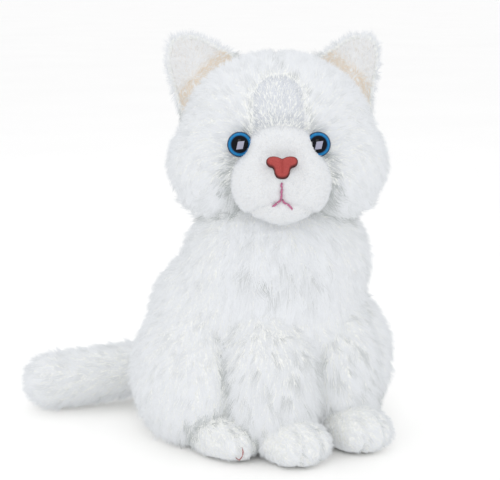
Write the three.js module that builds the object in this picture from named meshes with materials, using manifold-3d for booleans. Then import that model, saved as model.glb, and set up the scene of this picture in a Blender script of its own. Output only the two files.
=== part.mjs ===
// A sitting plush cat, sewn from pile fabric and stuffed, with moulded eyes and nose.
//
// Millimetres, +Z up. The cat faces -Y, so its own left side is +X. It stands on z = 0, with the
// origin in the middle of its seat. The head is sewn on turned towards the cat's right.
//
// Each stuffed form is a function of an inset: inset 0 is the outside of the fabric, FABRIC is
// its inside, and FABRIC + FILL_GAP is the outside of the stuffing. Panels are cut from that
// shell, and a form that meets its neighbour is cut by the neighbour's form, grown by a gap.

import * as THREE from "three";
import { mergeVertices } from "three/addons/utils/BufferGeometryUtils.js";
import Module from "manifold-3d";

const wasm = await Module();
wasm.setup();

// ---- Cloth, thread and clearances -------------------------------------------------------------
const FABRIC = 1.6; // pile fabric, backing and pressed pile
const FILL_GAP = 0.3; // fabric to stuffing
const SEAM_GAP = 0.3; // panel to panel, and any two pieces that only touch
const MOVE_GAP = 1.2; // between sewn parts that move on each other
const THREAD = 1.2; // thickness of embroidery thread
const SOLE_THICKNESS = 3; // sole and seat panels, with their turned edge

// ---- Torso ------------------------------------------------------------------------------------
const CHEST_CENTRE = [0, -20, 119];
const CHEST_RADII = [66, 57, 56];
const BELLY_CENTRE = [0, -4, 86];
const BELLY_RADII = [69, 70, 58];
const RUMP_CENTRE = [0, 14, 44];
const RUMP_RADII = [73, 72, 56];
const CHEST_PANEL_WIDTH = 56; // the front gusset between the two side panels
const PELLET_BAG_RADIUS = 33;
const PELLET_BAG_HEIGHT = 16;

// ---- Hind legs --------------------------------------------------------------------------------
const HAUNCH_CENTRE = [RUMP_RADII[0] - 12, -4, 44];
const HAUNCH_RADII = [33, 48, 50];
const HIND_FOOT_RADII = [20, 31, 18];
const HIND_FOOT_SPLAY = 3; // degrees, toes outwards

// ---- Forelegs ---------------------------------------------------------------------------------
const FORELEG_RADIUS = 27;
const FORELEG_ASIDE = FORELEG_RADIUS + 1; // each leg's distance from the middle
const SHOULDER = [FORELEG_ASIDE, -48, 96]; // centre of the shoulder, and of the leg's swing
const HIND_FOOT_CENTRE = [FORELEG_ASIDE + FORELEG_RADIUS + 5, -37, 14]; // beside the foreleg
const ANKLE = [FORELEG_ASIDE, -53, 27]; // centre of the leg's round lower end
const PAW_CENTRE = [FORELEG_ASIDE - 3, -77, 13];
const PAW_RADII = [22.5, 28, 18];
const FORELEG_SWING = 15; // degrees, forwards only

// ---- Head -------------------------------------------------------------------------------------
const HEAD_CENTRE = [0, -20, 200];
const HEAD_YAW = -32; // degrees, towards the cat's right
const HEAD_PITCH = 8; // degrees, chin up
const SKULL_CENTRE = [0, 4, 5];
const SKULL_RADII = [66, 58, 57];
const CHEEK_CENTRE = [32, -6, -16];
const CHEEK_RADII = [40, 42, 38];
const MUZZLE_CENTRE = [13, -46, -26];
const MUZZLE_RADII = [19, 26, 23];
const BRIDGE_CENTRE = [0, -47, -20]; // the middle of the muzzle, under the nose
const BRIDGE_RADII = [21, 25, 23];
const BLAZE_WIDTH = 32; // forehead gusset, an arch between the brows
const BLAZE_BASE = -6; // its lower end, at the top of the muzzle
const BLAZE_SPRING = 23; // where its sides turn into the arch
const CHIN_TOP = -40;
const NECK_PIVOT = [0, -20, 150];
const NECK_RADIUS = 36;
const NECK_BAND = 4; // height of the neck between the shoulders and its pivot
const HEAD_UNDERSIDE = 1; // above the pivot
const SHOULDER_SLOPE = 10; // degrees that the shoulders fall away under the head

// ---- Ears -------------------------------------------------------------------------------------
const EAR_BASE_INNER = [25, 53]; // across and up, in the head's frame
const EAR_BASE_OUTER = [66, 20];
const EAR_TIP = [73, 73];
const EAR_DEPTH = 8; // how far back the ears stand
const EAR_ROUNDING = 15;
const EAR_BACK_THICKNESS = 3.6;
const EAR_LINING_THICKNESS = 2.4;
const EAR_RIM = 3; // how far the back reaches past the lining's corners

// ---- Eyes, nose and mouth ---------------------------------------------------------------------
const EYE_DIAMETER = 16;
const EYE_PLACE = [24.5, -50, -3];
const EYE_DOME = 6; // height of the clear dome
const IRIS_THICKNESS = 1.2;
const POST_DIAMETER = 4;
const POST_LENGTH = 9;
const WASHER_DIAMETER = 14;
const WASHER_THICKNESS = 1.2;
const NOSE_WIDTH = 20;
const NOSE_HEIGHT = 14;
const NOSE_THICKNESS = 4;
const NOSE_PLACE = [0, -70.5, -18.5];
const NOSE_WASHER_DIAMETER = 9;
const NOSE_TILT = 14; // degrees, leaning back with the muzzle
const MOUTH_TOP = -27;
const MOUTH_FORK = -35.5;
const MOUTH_BOTTOM = -41;
const MOUTH_HALF_WIDTH = 6;

// ---- Tail -------------------------------------------------------------------------------------
const TAIL_ROOT = [-14, 74, 29];
const TAIL_AIM = [-100, 33]; // across and back, from the root to the tip's centre
const TAIL_DROP = 8; // how much lower the tip's centre is than the root's
const TAIL_ROOT_RADIUS = 24;
const TAIL_RADIUS = 20;
const TAIL_TAPER = 34; // distance from the root at which the tail has its own radius
const GUSSET_RADIUS = TAIL_ROOT_RADIUS + 4; // outside of the cup that joins the tail to the rump
const TAIL_SWING_IN = 5; // degrees, towards the body's side
const TAIL_LIFT = 20; // degrees, upwards

const BEVEL = 1; // on the edges of the nose and the ear backs
const LARGE_BALL = 36; // a ball with a longer radius than this gets the finer facets
const LARGE_FACETS = [14, 8]; // round and from pole to pole
const SMALL_FACETS = [12, 6];
const SMALL_SEGMENTS = 10; // on the posts and washers
const EYE_SEGMENTS = 16;
const QUARTER_STEPS = 4; // on a rounded end, from its rim to its pole
const SWING_STEPS = 3; // stops that stand for a foreleg's whole swing
const FAR = 400; // half size of a cutting block

// ================================================================================================
// Solids
// ================================================================================================

const rad = THREE.MathUtils.degToRad;

function solidOf(geometry, matrix = new THREE.Matrix4()) {
  const bare = geometry.index ? geometry.toNonIndexed() : geometry.clone();
  bare.deleteAttribute("normal");
  bare.deleteAttribute("uv");
  bare.applyMatrix4(matrix);
  const merged = mergeVertices(bare, 1e-4);
  const vertProperties = Float32Array.from(merged.attributes.position.array);
  const triVerts = Uint32Array.from(merged.index.array);
  return new wasm.Manifold(new wasm.Mesh({ numProp: 3, vertProperties, triVerts }));
}

function union(solids) {
  return solids.reduce((a, b) => a.add(b));
}

function cut(solid, ...tools) {
  return tools.reduce((a, b) => a.subtract(b), solid);
}

function ellipsoid(centre, radii, inset = 0, yaw = 0) {
  const size = radii.map((r) => r - inset);
  const matrix = new THREE.Matrix4().compose(
    new THREE.Vector3(...centre),
    new THREE.Quaternion().setFromEuler(new THREE.Euler(0, 0, rad(yaw))),
    new THREE.Vector3(...size),
  );
  const facets = Math.max(...radii) > LARGE_BALL ? LARGE_FACETS : SMALL_FACETS;
  const ball = new THREE.SphereGeometry(1, ...facets);
  ball.rotateX(Math.PI / 2);
  return solidOf(ball, matrix);
}

// A ball to hollow out a socket with: its flat facets all stay outside the radius.
function socketBall(centre, radius) {
  const [round, fromPole] = LARGE_FACETS;
  const reach = radius / (Math.cos(Math.PI / round) * Math.cos(Math.PI / (2 * fromPole)));
  const ball = new THREE.SphereGeometry(reach, round, fromPole);
  return solidOf(ball.rotateX(Math.PI / 2), new THREE.Matrix4().makeTranslation(...centre));
}

// A block between two corners; an end left out runs far past the part.
function block({ x = [-FAR, FAR], y = [-FAR, FAR], z = [-FAR, FAR] }) {
  const box = new THREE.BoxGeometry(x[1] - x[0], y[1] - y[0], z[1] - z[0]);
  box.translate((x[0] + x[1]) / 2, (y[0] + y[1]) / 2, (z[0] + z[1]) / 2);
  return solidOf(box);
}

// A round solid about the line from a to b: the profile lists [distance along, radius].
function turned(a, b, profile, segments = SMALL_FACETS[0]) {
  const from = new THREE.Vector3(...a);
  const along = new THREE.Vector3(...b).sub(from).normalize();
  const turn = new THREE.Quaternion().setFromUnitVectors(new THREE.Vector3(0, 1, 0), along);
  const points = profile.map(([distance, radius]) => new THREE.Vector2(radius, distance));
  const matrix = new THREE.Matrix4().compose(from, turn, new THREE.Vector3(1, 1, 1));
  return solidOf(new THREE.LatheGeometry(points, segments), matrix);
}

// The profile of a bar with round ends of two radii, set a given distance apart.
function roundEnded(length, startRadius, endRadius, middle = []) {
  const profile = [];
  for (let i = 0; i <= QUARTER_STEPS; i += 1) {
    const angle = (Math.PI / 2) * (i / QUARTER_STEPS);
    profile.push([-startRadius * Math.cos(angle), startRadius * Math.sin(angle)]);
  }
  profile.push(...middle);
  for (let i = 0; i <= QUARTER_STEPS; i += 1) {
    const angle = (Math.PI / 2) * (i / QUARTER_STEPS);
    profile.push([length + endRadius * Math.sin(angle), endRadius * Math.cos(angle)]);
  }
  profile[0][1] = 0;
  profile[profile.length - 1][1] = 0;
  return profile;
}

function turnedAbout(point, turn) {
  return new THREE.Matrix4()
    .makeTranslation(...point)
    .multiply(turn)
    .multiply(new THREE.Matrix4().makeTranslation(...point.map((v) => -v)));
}

function moved(solid, matrix) {
  return solid.transform(matrix.elements.slice());
}

function mirrored([x, y, z], side) {
  return [side * x, y, z];
}

// ================================================================================================
// Forms: the outside of each stuffed part, less an inset
// ================================================================================================

const aboveGround = (inset) => block({ z: [inset, FAR] });

function forelegForm(side, inset) {
  const top = mirrored(SHOULDER, side);
  const bottom = mirrored(ANKLE, side);
  const length = new THREE.Vector3(...top).distanceTo(new THREE.Vector3(...bottom));
  const radius = FORELEG_RADIUS - inset;
  return turned(top, bottom, roundEnded(length, radius, radius)).intersect(aboveGround(inset));
}

function pawForm(side, inset) {
  return ellipsoid(mirrored(PAW_CENTRE, side), PAW_RADII, inset).intersect(aboveGround(inset));
}

// Everything that a foreleg and its paw pass through as they swing forwards.
function forelegSweep(side, gap) {
  const limb = forelegForm(side, -gap).add(pawForm(side, -gap));
  const stops = [limb];
  for (let i = 1; i <= SWING_STEPS; i += 1) {
    const turn = new THREE.Matrix4().makeRotationX(rad((-FORELEG_SWING * i) / SWING_STEPS));
    stops.push(moved(limb, turnedAbout(SHOULDER, turn)));
  }
  return union(stops);
}

const forelegRoom = union([forelegSweep(1, MOVE_GAP), forelegSweep(-1, MOVE_GAP)]);

// The pocket in the torso for a foreleg: the leg at rest, and all that is in front of it.
function forelegPocket(side, gap) {
  const [x, y, z] = mirrored(SHOULDER, side);
  const reach = FORELEG_RADIUS + gap;
  const brow = z + FORELEG_RADIUS * Math.sin(rad(FORELEG_SWING)) + gap;
  const front = block({ x: [x - reach, x + reach], y: [-FAR, y], z: [-FAR, brow] });
  return union([forelegForm(side, -gap), pawForm(side, -gap), front]);
}

// The cone under the head that keeps the shoulders clear of it as it nods.
function underHead(inset) {
  const rise = Math.tan(rad(SHOULDER_SLOPE));
  const [x, y, z] = NECK_PIVOT;
  const top = z - MOVE_GAP - inset + (NECK_RADIUS / 2) * rise;
  const profile = [[-FAR, 0], [-FAR, FAR], [top - FAR * rise, FAR], [top, 0]];
  return turned([x, y, 0], [x, y, z], profile);
}

function torsoForm(inset) {
  const whole = union([
    ellipsoid(CHEST_CENTRE, CHEST_RADII, inset),
    ellipsoid(BELLY_CENTRE, BELLY_RADII, inset),
    ellipsoid(RUMP_CENTRE, RUMP_RADII, inset),
  ]);
  const trimmed = whole
    .intersect(aboveGround(inset))
    .intersect(underHead(inset))
    .intersect(block({ z: [0, NECK_PIVOT[2] - NECK_BAND / 2 - MOVE_GAP / 2 - inset] }));
  const gussetRoom = socketBall(TAIL_ROOT, GUSSET_RADIUS + MOVE_GAP + inset);
  const legRoom = union([1, -1].map((side) => forelegPocket(side, MOVE_GAP + inset)));
  return cut(trimmed, legRoom, gussetRoom, tailSweep(MOVE_GAP + inset));
}

function tailForm(inset) {
  const [x, y, z] = TAIL_ROOT;
  const tip = [x + TAIL_AIM[0], y + TAIL_AIM[1], z - TAIL_DROP];
  const length = new THREE.Vector3(...TAIL_ROOT).distanceTo(new THREE.Vector3(...tip));
  const middle = [[TAIL_TAPER, TAIL_RADIUS - inset]];
  const profile = roundEnded(length, TAIL_ROOT_RADIUS - inset, TAIL_RADIUS - inset, middle);
  return turned(TAIL_ROOT, tip, profile);
}

// Everything that the tail passes through as it lifts, at rest and swung in against the body.
function tailSweep(gap) {
  const tail = tailForm(-gap);
  const across = new THREE.Vector3(-TAIL_AIM[1], TAIL_AIM[0], 0).normalize();
  const stops = [0, TAIL_SWING_IN].flatMap((swing) =>
    [0, TAIL_LIFT / 2, TAIL_LIFT].map((lift) => {
      const turn = new THREE.Matrix4()
        .makeRotationZ(rad(swing))
        .multiply(new THREE.Matrix4().makeRotationAxis(across, rad(-lift)));
      return moved(tail, turnedAbout(TAIL_ROOT, turn));
    }),
  );
  return union(stops);
}

function haunchForm(side, inset) {
  return ellipsoid(mirrored(HAUNCH_CENTRE, side), HAUNCH_RADII, inset).intersect(aboveGround(0));
}

function hindFootForm(side, inset) {
  const splay = side * HIND_FOOT_SPLAY;
  return ellipsoid(mirrored(HIND_FOOT_CENTRE, side), HIND_FOOT_RADII, inset, splay);
}

// The head's frame: x across the face, -y out of the face, z up the face.
const headMatrix = new THREE.Matrix4()
  .makeTranslation(...HEAD_CENTRE)
  .multiply(new THREE.Matrix4().makeRotationZ(rad(HEAD_YAW)))
  .multiply(new THREE.Matrix4().makeRotationX(rad(-HEAD_PITCH)));

function onHead(solid) {
  return moved(solid, headMatrix);
}

function skullForm(inset) {
  return onHead(
    union([
      ellipsoid(SKULL_CENTRE, SKULL_RADII, inset),
      ellipsoid(CHEEK_CENTRE, CHEEK_RADII, inset),
      ellipsoid(mirrored(CHEEK_CENTRE, -1), CHEEK_RADII, inset),
    ]),
  );
}

// The skull with the socket that turns and nods on the neck.
function headForm(inset) {
  const socket = socketBall(NECK_PIVOT, NECK_RADIUS + MOVE_GAP + inset);
  const floor = NECK_PIVOT[2] + HEAD_UNDERSIDE + inset;
  return cut(skullForm(inset).intersect(block({ z: [floor, FAR] })), socket);
}

function muzzleBalls(inset) {
  return union([
    ellipsoid(MUZZLE_CENTRE, MUZZLE_RADII, inset),
    ellipsoid(mirrored(MUZZLE_CENTRE, -1), MUZZLE_RADII, inset),
    ellipsoid(BRIDGE_CENTRE, BRIDGE_RADII, inset),
  ]);
}

const muzzleForm = (inset) => onHead(muzzleBalls(inset));

// A prism standing out of the face along -y, over an outline in the face's x and z.
function facePrism(outline, near, far, bevel = 0) {
  const geometry = new THREE.ExtrudeGeometry(outline, {
    depth: near - far - 2 * bevel,
    bevelEnabled: bevel > 0,
    bevelThickness: bevel,
    bevelSize: bevel,
    bevelOffset: -bevel,
    bevelSegments: 1,
    curveSegments: QUARTER_STEPS,
  });
  geometry.translate(0, 0, bevel);
  geometry.rotateX(Math.PI / 2); // the outline's y becomes z, and its depth runs to -y
  geometry.translate(0, near, 0);
  return solidOf(geometry);
}

// ================================================================================================
// Finishes
// ================================================================================================

function finish(color, roughness, metalness = 0) {
  return new THREE.MeshStandardMaterial({ color, roughness, metalness });
}

const pileFabric = () => finish(0xf1f2f4, 0.95);
const shortPile = () => finish(0xe7e9ed, 0.92);
const earVelour = () => finish(0xe0d8cf, 0.9);
const fibreFill = () => finish(0xf8f8f5, 1);
const bagCloth = () => finish(0xe6e2d8, 0.9);
const clearPlastic = () => finish(0x0b0d12, 0.06);
const irisFoil = () => finish(0x2f7fb8, 0.3, 0.5);
const whitePlastic = () => finish(0xe9e9e6, 0.5);
const noseFlock = () => finish(0xc25b54, 0.8);
const pinkThread = () => finish(0xc77a98, 0.7);

// ================================================================================================
// The cat
// ================================================================================================

const group = new THREE.Group();

function piece(name, solid, material) {
  const { vertProperties, triVerts } = solid.getMesh();
  const geometry = new THREE.BufferGeometry();
  geometry.setAttribute("position", new THREE.BufferAttribute(Float32Array.from(vertProperties), 3));
  geometry.setIndex(new THREE.BufferAttribute(Uint32Array.from(triVerts), 1));
  const mesh = new THREE.Mesh(geometry, material);
  mesh.name = name;
  group.add(mesh);
}

const sideName = (side) => (side > 0 ? "left" : "right");
const half = CHEST_PANEL_WIDTH / 2;
const gap = SEAM_GAP / 2;

function addTorso() {
  const skin = torsoForm(0).subtract(torsoForm(FABRIC));
  const upper = block({ z: [SOLE_THICKNESS + SEAM_GAP, FAR] });
  const front = block({ x: [-half + gap, half - gap], y: [-FAR, CHEST_CENTRE[1]] });
  piece("seat_panel", skin.intersect(block({ z: [0, SOLE_THICKNESS] })), shortPile());
  piece("chest_panel", skin.intersect(upper).intersect(front), pileFabric());
  for (const side of [1, -1]) {
    const x = side > 0 ? [gap, FAR] : [-FAR, -gap];
    const gusset = block({ x: [-half - gap, half + gap], y: [-FAR, CHEST_CENTRE[1] + SEAM_GAP] });
    const panel = cut(skin.intersect(upper).intersect(block({ x })), gusset);
    piece(`back_panel_${sideName(side)}`, panel, pileFabric());
  }
  const bagFloor = FABRIC + SEAM_GAP;
  const bagTop = bagFloor + PELLET_BAG_HEIGHT;
  const [x, y] = RUMP_CENTRE;
  const rim = PELLET_BAG_HEIGHT / 2;
  const bagProfile = [[0, 0], [0, PELLET_BAG_RADIUS - rim]];
  for (let i = 1; i < 2 * QUARTER_STEPS; i += 1) {
    const angle = (Math.PI / 2) * (i / QUARTER_STEPS);
    const radius = PELLET_BAG_RADIUS - rim + rim * Math.sin(angle);
    bagProfile.push([rim - rim * Math.cos(angle), radius]);
  }
  bagProfile.push([PELLET_BAG_HEIGHT, PELLET_BAG_RADIUS - rim], [PELLET_BAG_HEIGHT, 0]);
  const bag = turned([x, y, bagFloor], [x, y, FAR], bagProfile);
  piece("pellet_bag", bag.intersect(torsoForm(bagFloor)), bagCloth());
  const fill = torsoForm(FABRIC + FILL_GAP).intersect(block({ z: [bagTop + SEAM_GAP, FAR] }));
  piece("body_stuffing", fill, fibreFill());
}

function addHindLeg(side) {
  const name = sideName(side);
  const torso = torsoForm(-SEAM_GAP);
  const room = cut(haunchForm(side, 0), torso, forelegRoom);
  const skin = cut(room, haunchForm(side, FABRIC));
  piece(`haunch_panel_${name}`, skin, pileFabric());
  const fill = cut(haunchForm(side, FABRIC + FILL_GAP), torso, forelegRoom);
  piece(`haunch_stuffing_${name}`, fill.intersect(aboveGround(FABRIC + FILL_GAP)), fibreFill());

  const around = union([haunchForm(side, -SEAM_GAP), torso, forelegRoom]);
  const sole = block({ z: [0, SOLE_THICKNESS] });
  const top = block({ z: [SOLE_THICKNESS + SEAM_GAP, FAR] });
  const foot = cut(hindFootForm(side, 0), around);
  piece(`hind_foot_sole_${name}`, foot.intersect(sole), shortPile());
  const shell = cut(foot, hindFootForm(side, FABRIC)).intersect(top);
  piece(`hind_foot_top_${name}`, shell, pileFabric());
  const footFill = cut(hindFootForm(side, FABRIC + FILL_GAP), around).intersect(top);
  piece(`hind_foot_stuffing_${name}`, footFill, fibreFill());
}

function addForeleg(side) {
  const name = sideName(side);
  const skin = forelegForm(side, 0).subtract(forelegForm(side, FABRIC));
  const seam = (SHOULDER[1] + ANKLE[1]) / 2;
  const front = block({ y: [-FAR, seam - gap] });
  const back = block({ y: [seam + gap, FAR] });
  piece(`foreleg_front_panel_${name}`, skin.intersect(front), pileFabric());
  piece(`foreleg_back_panel_${name}`, skin.intersect(back), pileFabric());
  piece(`foreleg_stuffing_${name}`, forelegForm(side, FABRIC + FILL_GAP), fibreFill());

  const leg = forelegForm(side, -SEAM_GAP);
  const sole = block({ z: [0, SOLE_THICKNESS] });
  const top = block({ z: [SOLE_THICKNESS + SEAM_GAP, FAR] });
  piece(`paw_sole_${name}`, cut(pawForm(side, 0).intersect(sole), leg), shortPile());
  const shell = cut(pawForm(side, 0), pawForm(side, FABRIC), leg).intersect(top);
  piece(`paw_top_${name}`, shell, pileFabric());
  const fill = cut(pawForm(side, FABRIC + FILL_GAP), leg).intersect(top);
  piece(`paw_stuffing_${name}`, fill, fibreFill());
}

function addNeck() {
  const floor = NECK_PIVOT[2] - NECK_BAND / 2;
  const above = block({ z: [floor, FAR] });
  const ball = (inset) => ellipsoid(NECK_PIVOT, [NECK_RADIUS, NECK_RADIUS, NECK_RADIUS], inset);
  const crown = NECK_PIVOT[2] + NECK_RADIUS / 2;
  const sleeve = cut(ball(0), ball(FABRIC)).intersect(above).intersect(block({ z: [0, crown] }));
  piece("neck_sleeve", sleeve, shortPile());
  piece("neck_stuffing", ball(FABRIC + FILL_GAP).intersect(above), fibreFill());
}

// A short post in the face's own frame, from the face inwards.
function faceCylinder(place, radius, near, far, segments = SMALL_SEGMENTS) {
  const [x, , z] = place;
  const profile = [[0, 0], [0, radius], [near - far, radius], [near - far, 0]];
  return turned([x, near, z], [x, far, z], profile, segments);
}

function eyeParts(side) {
  const place = mirrored(EYE_PLACE, side);
  const [x, seat, z] = place;
  const radius = EYE_DIAMETER / 2;
  const dome = [[0, 0]];
  for (let i = 0; i <= QUARTER_STEPS; i += 1) {
    const angle = (Math.PI / 2) * (i / QUARTER_STEPS);
    dome.push([EYE_DOME * Math.sin(angle), radius * Math.cos(angle)]);
  }
  dome[dome.length - 1][1] = 0;
  const irisFront = seat + SEAM_GAP;
  const irisBack = irisFront + IRIS_THICKNESS;
  const postFront = irisBack + SEAM_GAP;
  const washerFront = postFront + FABRIC + 2 * SEAM_GAP;
  const washerBack = washerFront + WASHER_THICKNESS;
  const post = POST_DIAMETER / 2;
  return {
    lens: turned([x, seat, z], [x, seat - 1, z], dome, EYE_SEGMENTS),
    iris: faceCylinder(place, radius - SEAM_GAP, irisBack, irisFront, EYE_SEGMENTS),
    post: faceCylinder(place, post, postFront + POST_LENGTH, postFront),
    washer: cut(
      faceCylinder(place, WASHER_DIAMETER / 2, washerBack, washerFront),
      faceCylinder(place, post + SEAM_GAP, washerBack + 1, washerFront - 1),
    ),
    pocket: union([
      faceCylinder(place, radius + SEAM_GAP, postFront, seat - FAR, EYE_SEGMENTS),
      faceCylinder(place, WASHER_DIAMETER / 2 + SEAM_GAP, postFront + POST_LENGTH + SEAM_GAP, seat),
    ]),
  };
}

// The nose: two rounded lobes above, narrowing to a rounded foot.
function noseOutline() {
  const w = NOSE_WIDTH / 2;
  const h = NOSE_HEIGHT / 2;
  const shape = new THREE.Shape();
  shape.moveTo(0, h * 0.8);
  shape.quadraticCurveTo(w * 0.55, h * 1.15, w, h * 0.75);
  shape.quadraticCurveTo(w * 1.05, -h * 0.1, w * 0.5, -h * 0.2);
  shape.quadraticCurveTo(w * 0.45, -h, 0, -h);
  shape.quadraticCurveTo(-w * 0.45, -h, -w * 0.5, -h * 0.2);
  shape.quadraticCurveTo(-w * 1.05, -h * 0.1, -w, h * 0.75);
  shape.quadraticCurveTo(-w * 0.55, h * 1.15, 0, h * 0.8);
  return shape;
}

function noseParts() {
  const [x, seat, z] = NOSE_PLACE;
  const lean = turnedAbout(NOSE_PLACE, new THREE.Matrix4().makeRotationX(rad(-NOSE_TILT)));
  const pad = facePrism(noseOutline(), NOSE_THICKNESS, -NOSE_THICKNESS, BEVEL);
  const place = new THREE.Matrix4().makeTranslation(x, seat, z);
  const postFront = seat + MOVE_GAP;
  const washerFront = postFront + FABRIC + SEAM_GAP;
  const washerBack = washerFront + WASHER_THICKNESS;
  const post = POST_DIAMETER / 2;
  const washer = NOSE_WASHER_DIAMETER / 2;
  const depth = postFront + POST_LENGTH + SEAM_GAP;
  return {
    pad: cut(moved(moved(pad, place), lean), muzzleBalls(-SEAM_GAP)),
    post: moved(faceCylinder(NOSE_PLACE, post, postFront + POST_LENGTH, postFront), lean),
    washer: moved(
      cut(
        faceCylinder(NOSE_PLACE, washer, washerBack, washerFront),
        faceCylinder(NOSE_PLACE, post + SEAM_GAP, washerBack + 1, washerFront - 1),
      ),
      lean,
    ),
    pocket: moved(faceCylinder(NOSE_PLACE, washer + SEAM_GAP, depth, seat - FABRIC), lean),
  };
}

// The mouth: one stitch down from the nose, and two from its end down and outwards.
function mouthOutline() {
  const t = THREAD / 2;
  const shape = new THREE.Shape();
  shape.moveTo(-t, MOUTH_TOP);
  shape.lineTo(-t, MOUTH_FORK);
  shape.lineTo(-MOUTH_HALF_WIDTH, MOUTH_BOTTOM);
  shape.lineTo(-MOUTH_HALF_WIDTH + t, MOUTH_BOTTOM - THREAD);
  shape.lineTo(0, MOUTH_FORK - THREAD);
  shape.lineTo(MOUTH_HALF_WIDTH - t, MOUTH_BOTTOM - THREAD);
  shape.lineTo(MOUTH_HALF_WIDTH, MOUTH_BOTTOM);
  shape.lineTo(t, MOUTH_FORK);
  shape.lineTo(t, MOUTH_TOP);
  return shape;
}

// The gusset's arch, seen from the front, and the strip below it down to the neck.
function foreheadRoom(grow) {
  const half = BLAZE_WIDTH / 2 + grow;
  const [, y] = SKULL_CENTRE;
  const low = BLAZE_BASE - grow;
  const pillar = block({ x: [-half, half], y: [-FAR, y], z: [low, BLAZE_SPRING] });
  const profile = [[0, 0], [0, half], [FAR, half], [FAR, 0]];
  const arch = turned([0, y, BLAZE_SPRING], [0, -FAR, BLAZE_SPRING], profile, 2 * SMALL_FACETS[0]);
  return pillar.add(arch);
}

function throatRoom(grow) {
  const half = BLAZE_WIDTH / 2 + grow;
  return block({ x: [-half, half], y: [-FAR, SKULL_CENTRE[1]], z: [-FAR, BLAZE_BASE + grow] });
}

// The part of the muzzle that is the chin: its underside, from the front back to the throat.
function chinRoom(grow) {
  const [, y, z] = MUZZLE_CENTRE;
  const front = block({ z: [-FAR, CHIN_TOP + grow] });
  const rear = block({ y: [y - grow, FAR], z: [-FAR, z + grow] });
  return onHead(front.add(rear));
}

function addHead() {
  const eyes = [1, -1].map(eyeParts);
  const nose = noseParts();
  const eyeRoom = onHead(union(eyes.map((eye) => eye.pocket)));
  const noseRoom = onHead(nose.pocket);
  const skin = cut(headForm(0).subtract(headForm(FABRIC)), eyeRoom);
  piece("forehead_gusset", skin.intersect(onHead(foreheadRoom(-gap))), shortPile());
  piece("throat_panel", skin.intersect(onHead(throatRoom(-gap))), pileFabric());
  for (const side of [1, -1]) {
    const x = side > 0 ? [gap, FAR] : [-FAR, -gap];
    const shell = skin.intersect(onHead(block({ x })));
    const panel = cut(shell, onHead(foreheadRoom(gap)), onHead(throatRoom(gap)));
    piece(`head_side_panel_${sideName(side)}`, panel, pileFabric());
  }
  piece("head_stuffing", cut(headForm(FABRIC + FILL_GAP), eyeRoom, noseRoom), fibreFill());

  const skull = skullForm(-SEAM_GAP);
  const muzzleSkin = cut(muzzleForm(0), muzzleForm(FABRIC), skull, noseRoom, eyeRoom);
  piece("muzzle_panel", cut(muzzleSkin, chinRoom(gap)), shortPile());
  piece("chin_panel", muzzleSkin.intersect(chinRoom(-gap)), shortPile());
  const muzzleFill = cut(muzzleForm(FABRIC + FILL_GAP), skull, noseRoom, eyeRoom);
  piece("muzzle_stuffing", muzzleFill, fibreFill());

  [1, -1].forEach((side, i) => {
    const name = sideName(side);
    piece(`eye_lens_${name}`, onHead(eyes[i].lens), clearPlastic());
    piece(`eye_iris_${name}`, onHead(eyes[i].iris), irisFoil());
    piece(`eye_post_${name}`, onHead(eyes[i].post), whitePlastic());
    piece(`eye_washer_${name}`, onHead(eyes[i].washer), whitePlastic());
  });
  piece("nose", onHead(nose.pad), noseFlock());
  piece("nose_post", onHead(nose.post), whitePlastic());
  piece("nose_washer", onHead(nose.washer), whitePlastic());
  const stitch = onHead(facePrism(mouthOutline(), MUZZLE_CENTRE[1], -FAR / 4));
  const layer = cut(muzzleForm(-SEAM_GAP - THREAD), muzzleForm(-SEAM_GAP));
  piece("mouth_stitch", cut(layer.intersect(stitch), noseRoom), pinkThread());
}

// A triangle with rounded corners, from the ear's base to its tip.
function earOutline(side, inset) {
  const corners = [EAR_BASE_INNER, EAR_BASE_OUTER, EAR_TIP].map(
    ([x, z]) => new THREE.Vector2(side * x, z),
  );
  const middle = corners.reduce((a, b) => a.clone().add(b)).divideScalar(3);
  const inner = corners.map((corner) => {
    const inward = middle.clone().sub(corner);
    return corner.clone().add(inward.setLength(inset));
  });
  const shape = new THREE.Shape();
  inner.forEach((corner, i) => {
    const before = inner[(i + 2) % 3].clone().sub(corner).setLength(EAR_ROUNDING).add(corner);
    const after = inner[(i + 1) % 3].clone().sub(corner).setLength(EAR_ROUNDING).add(corner);
    if (i === 0) {
      shape.moveTo(before.x, before.y);
    } else {
      shape.lineTo(before.x, before.y);
    }
    shape.quadraticCurveTo(corner.x, corner.y, after.x, after.y);
  });
  shape.closePath();
  return shape;
}

function addEar(side) {
  const name = sideName(side);
  const backNear = EAR_DEPTH + EAR_BACK_THICKNESS;
  const back = facePrism(earOutline(side, 0), backNear, EAR_DEPTH, BEVEL);
  const liningNear = EAR_DEPTH - SEAM_GAP;
  const lining = facePrism(earOutline(side, EAR_RIM), liningNear, liningNear - EAR_LINING_THICKNESS);
  const skull = skullForm(-2 * MOVE_GAP);
  piece(`ear_back_${name}`, cut(onHead(back), skull), pileFabric());
  piece(`ear_lining_${name}`, cut(onHead(lining), skull), earVelour());
}

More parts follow.
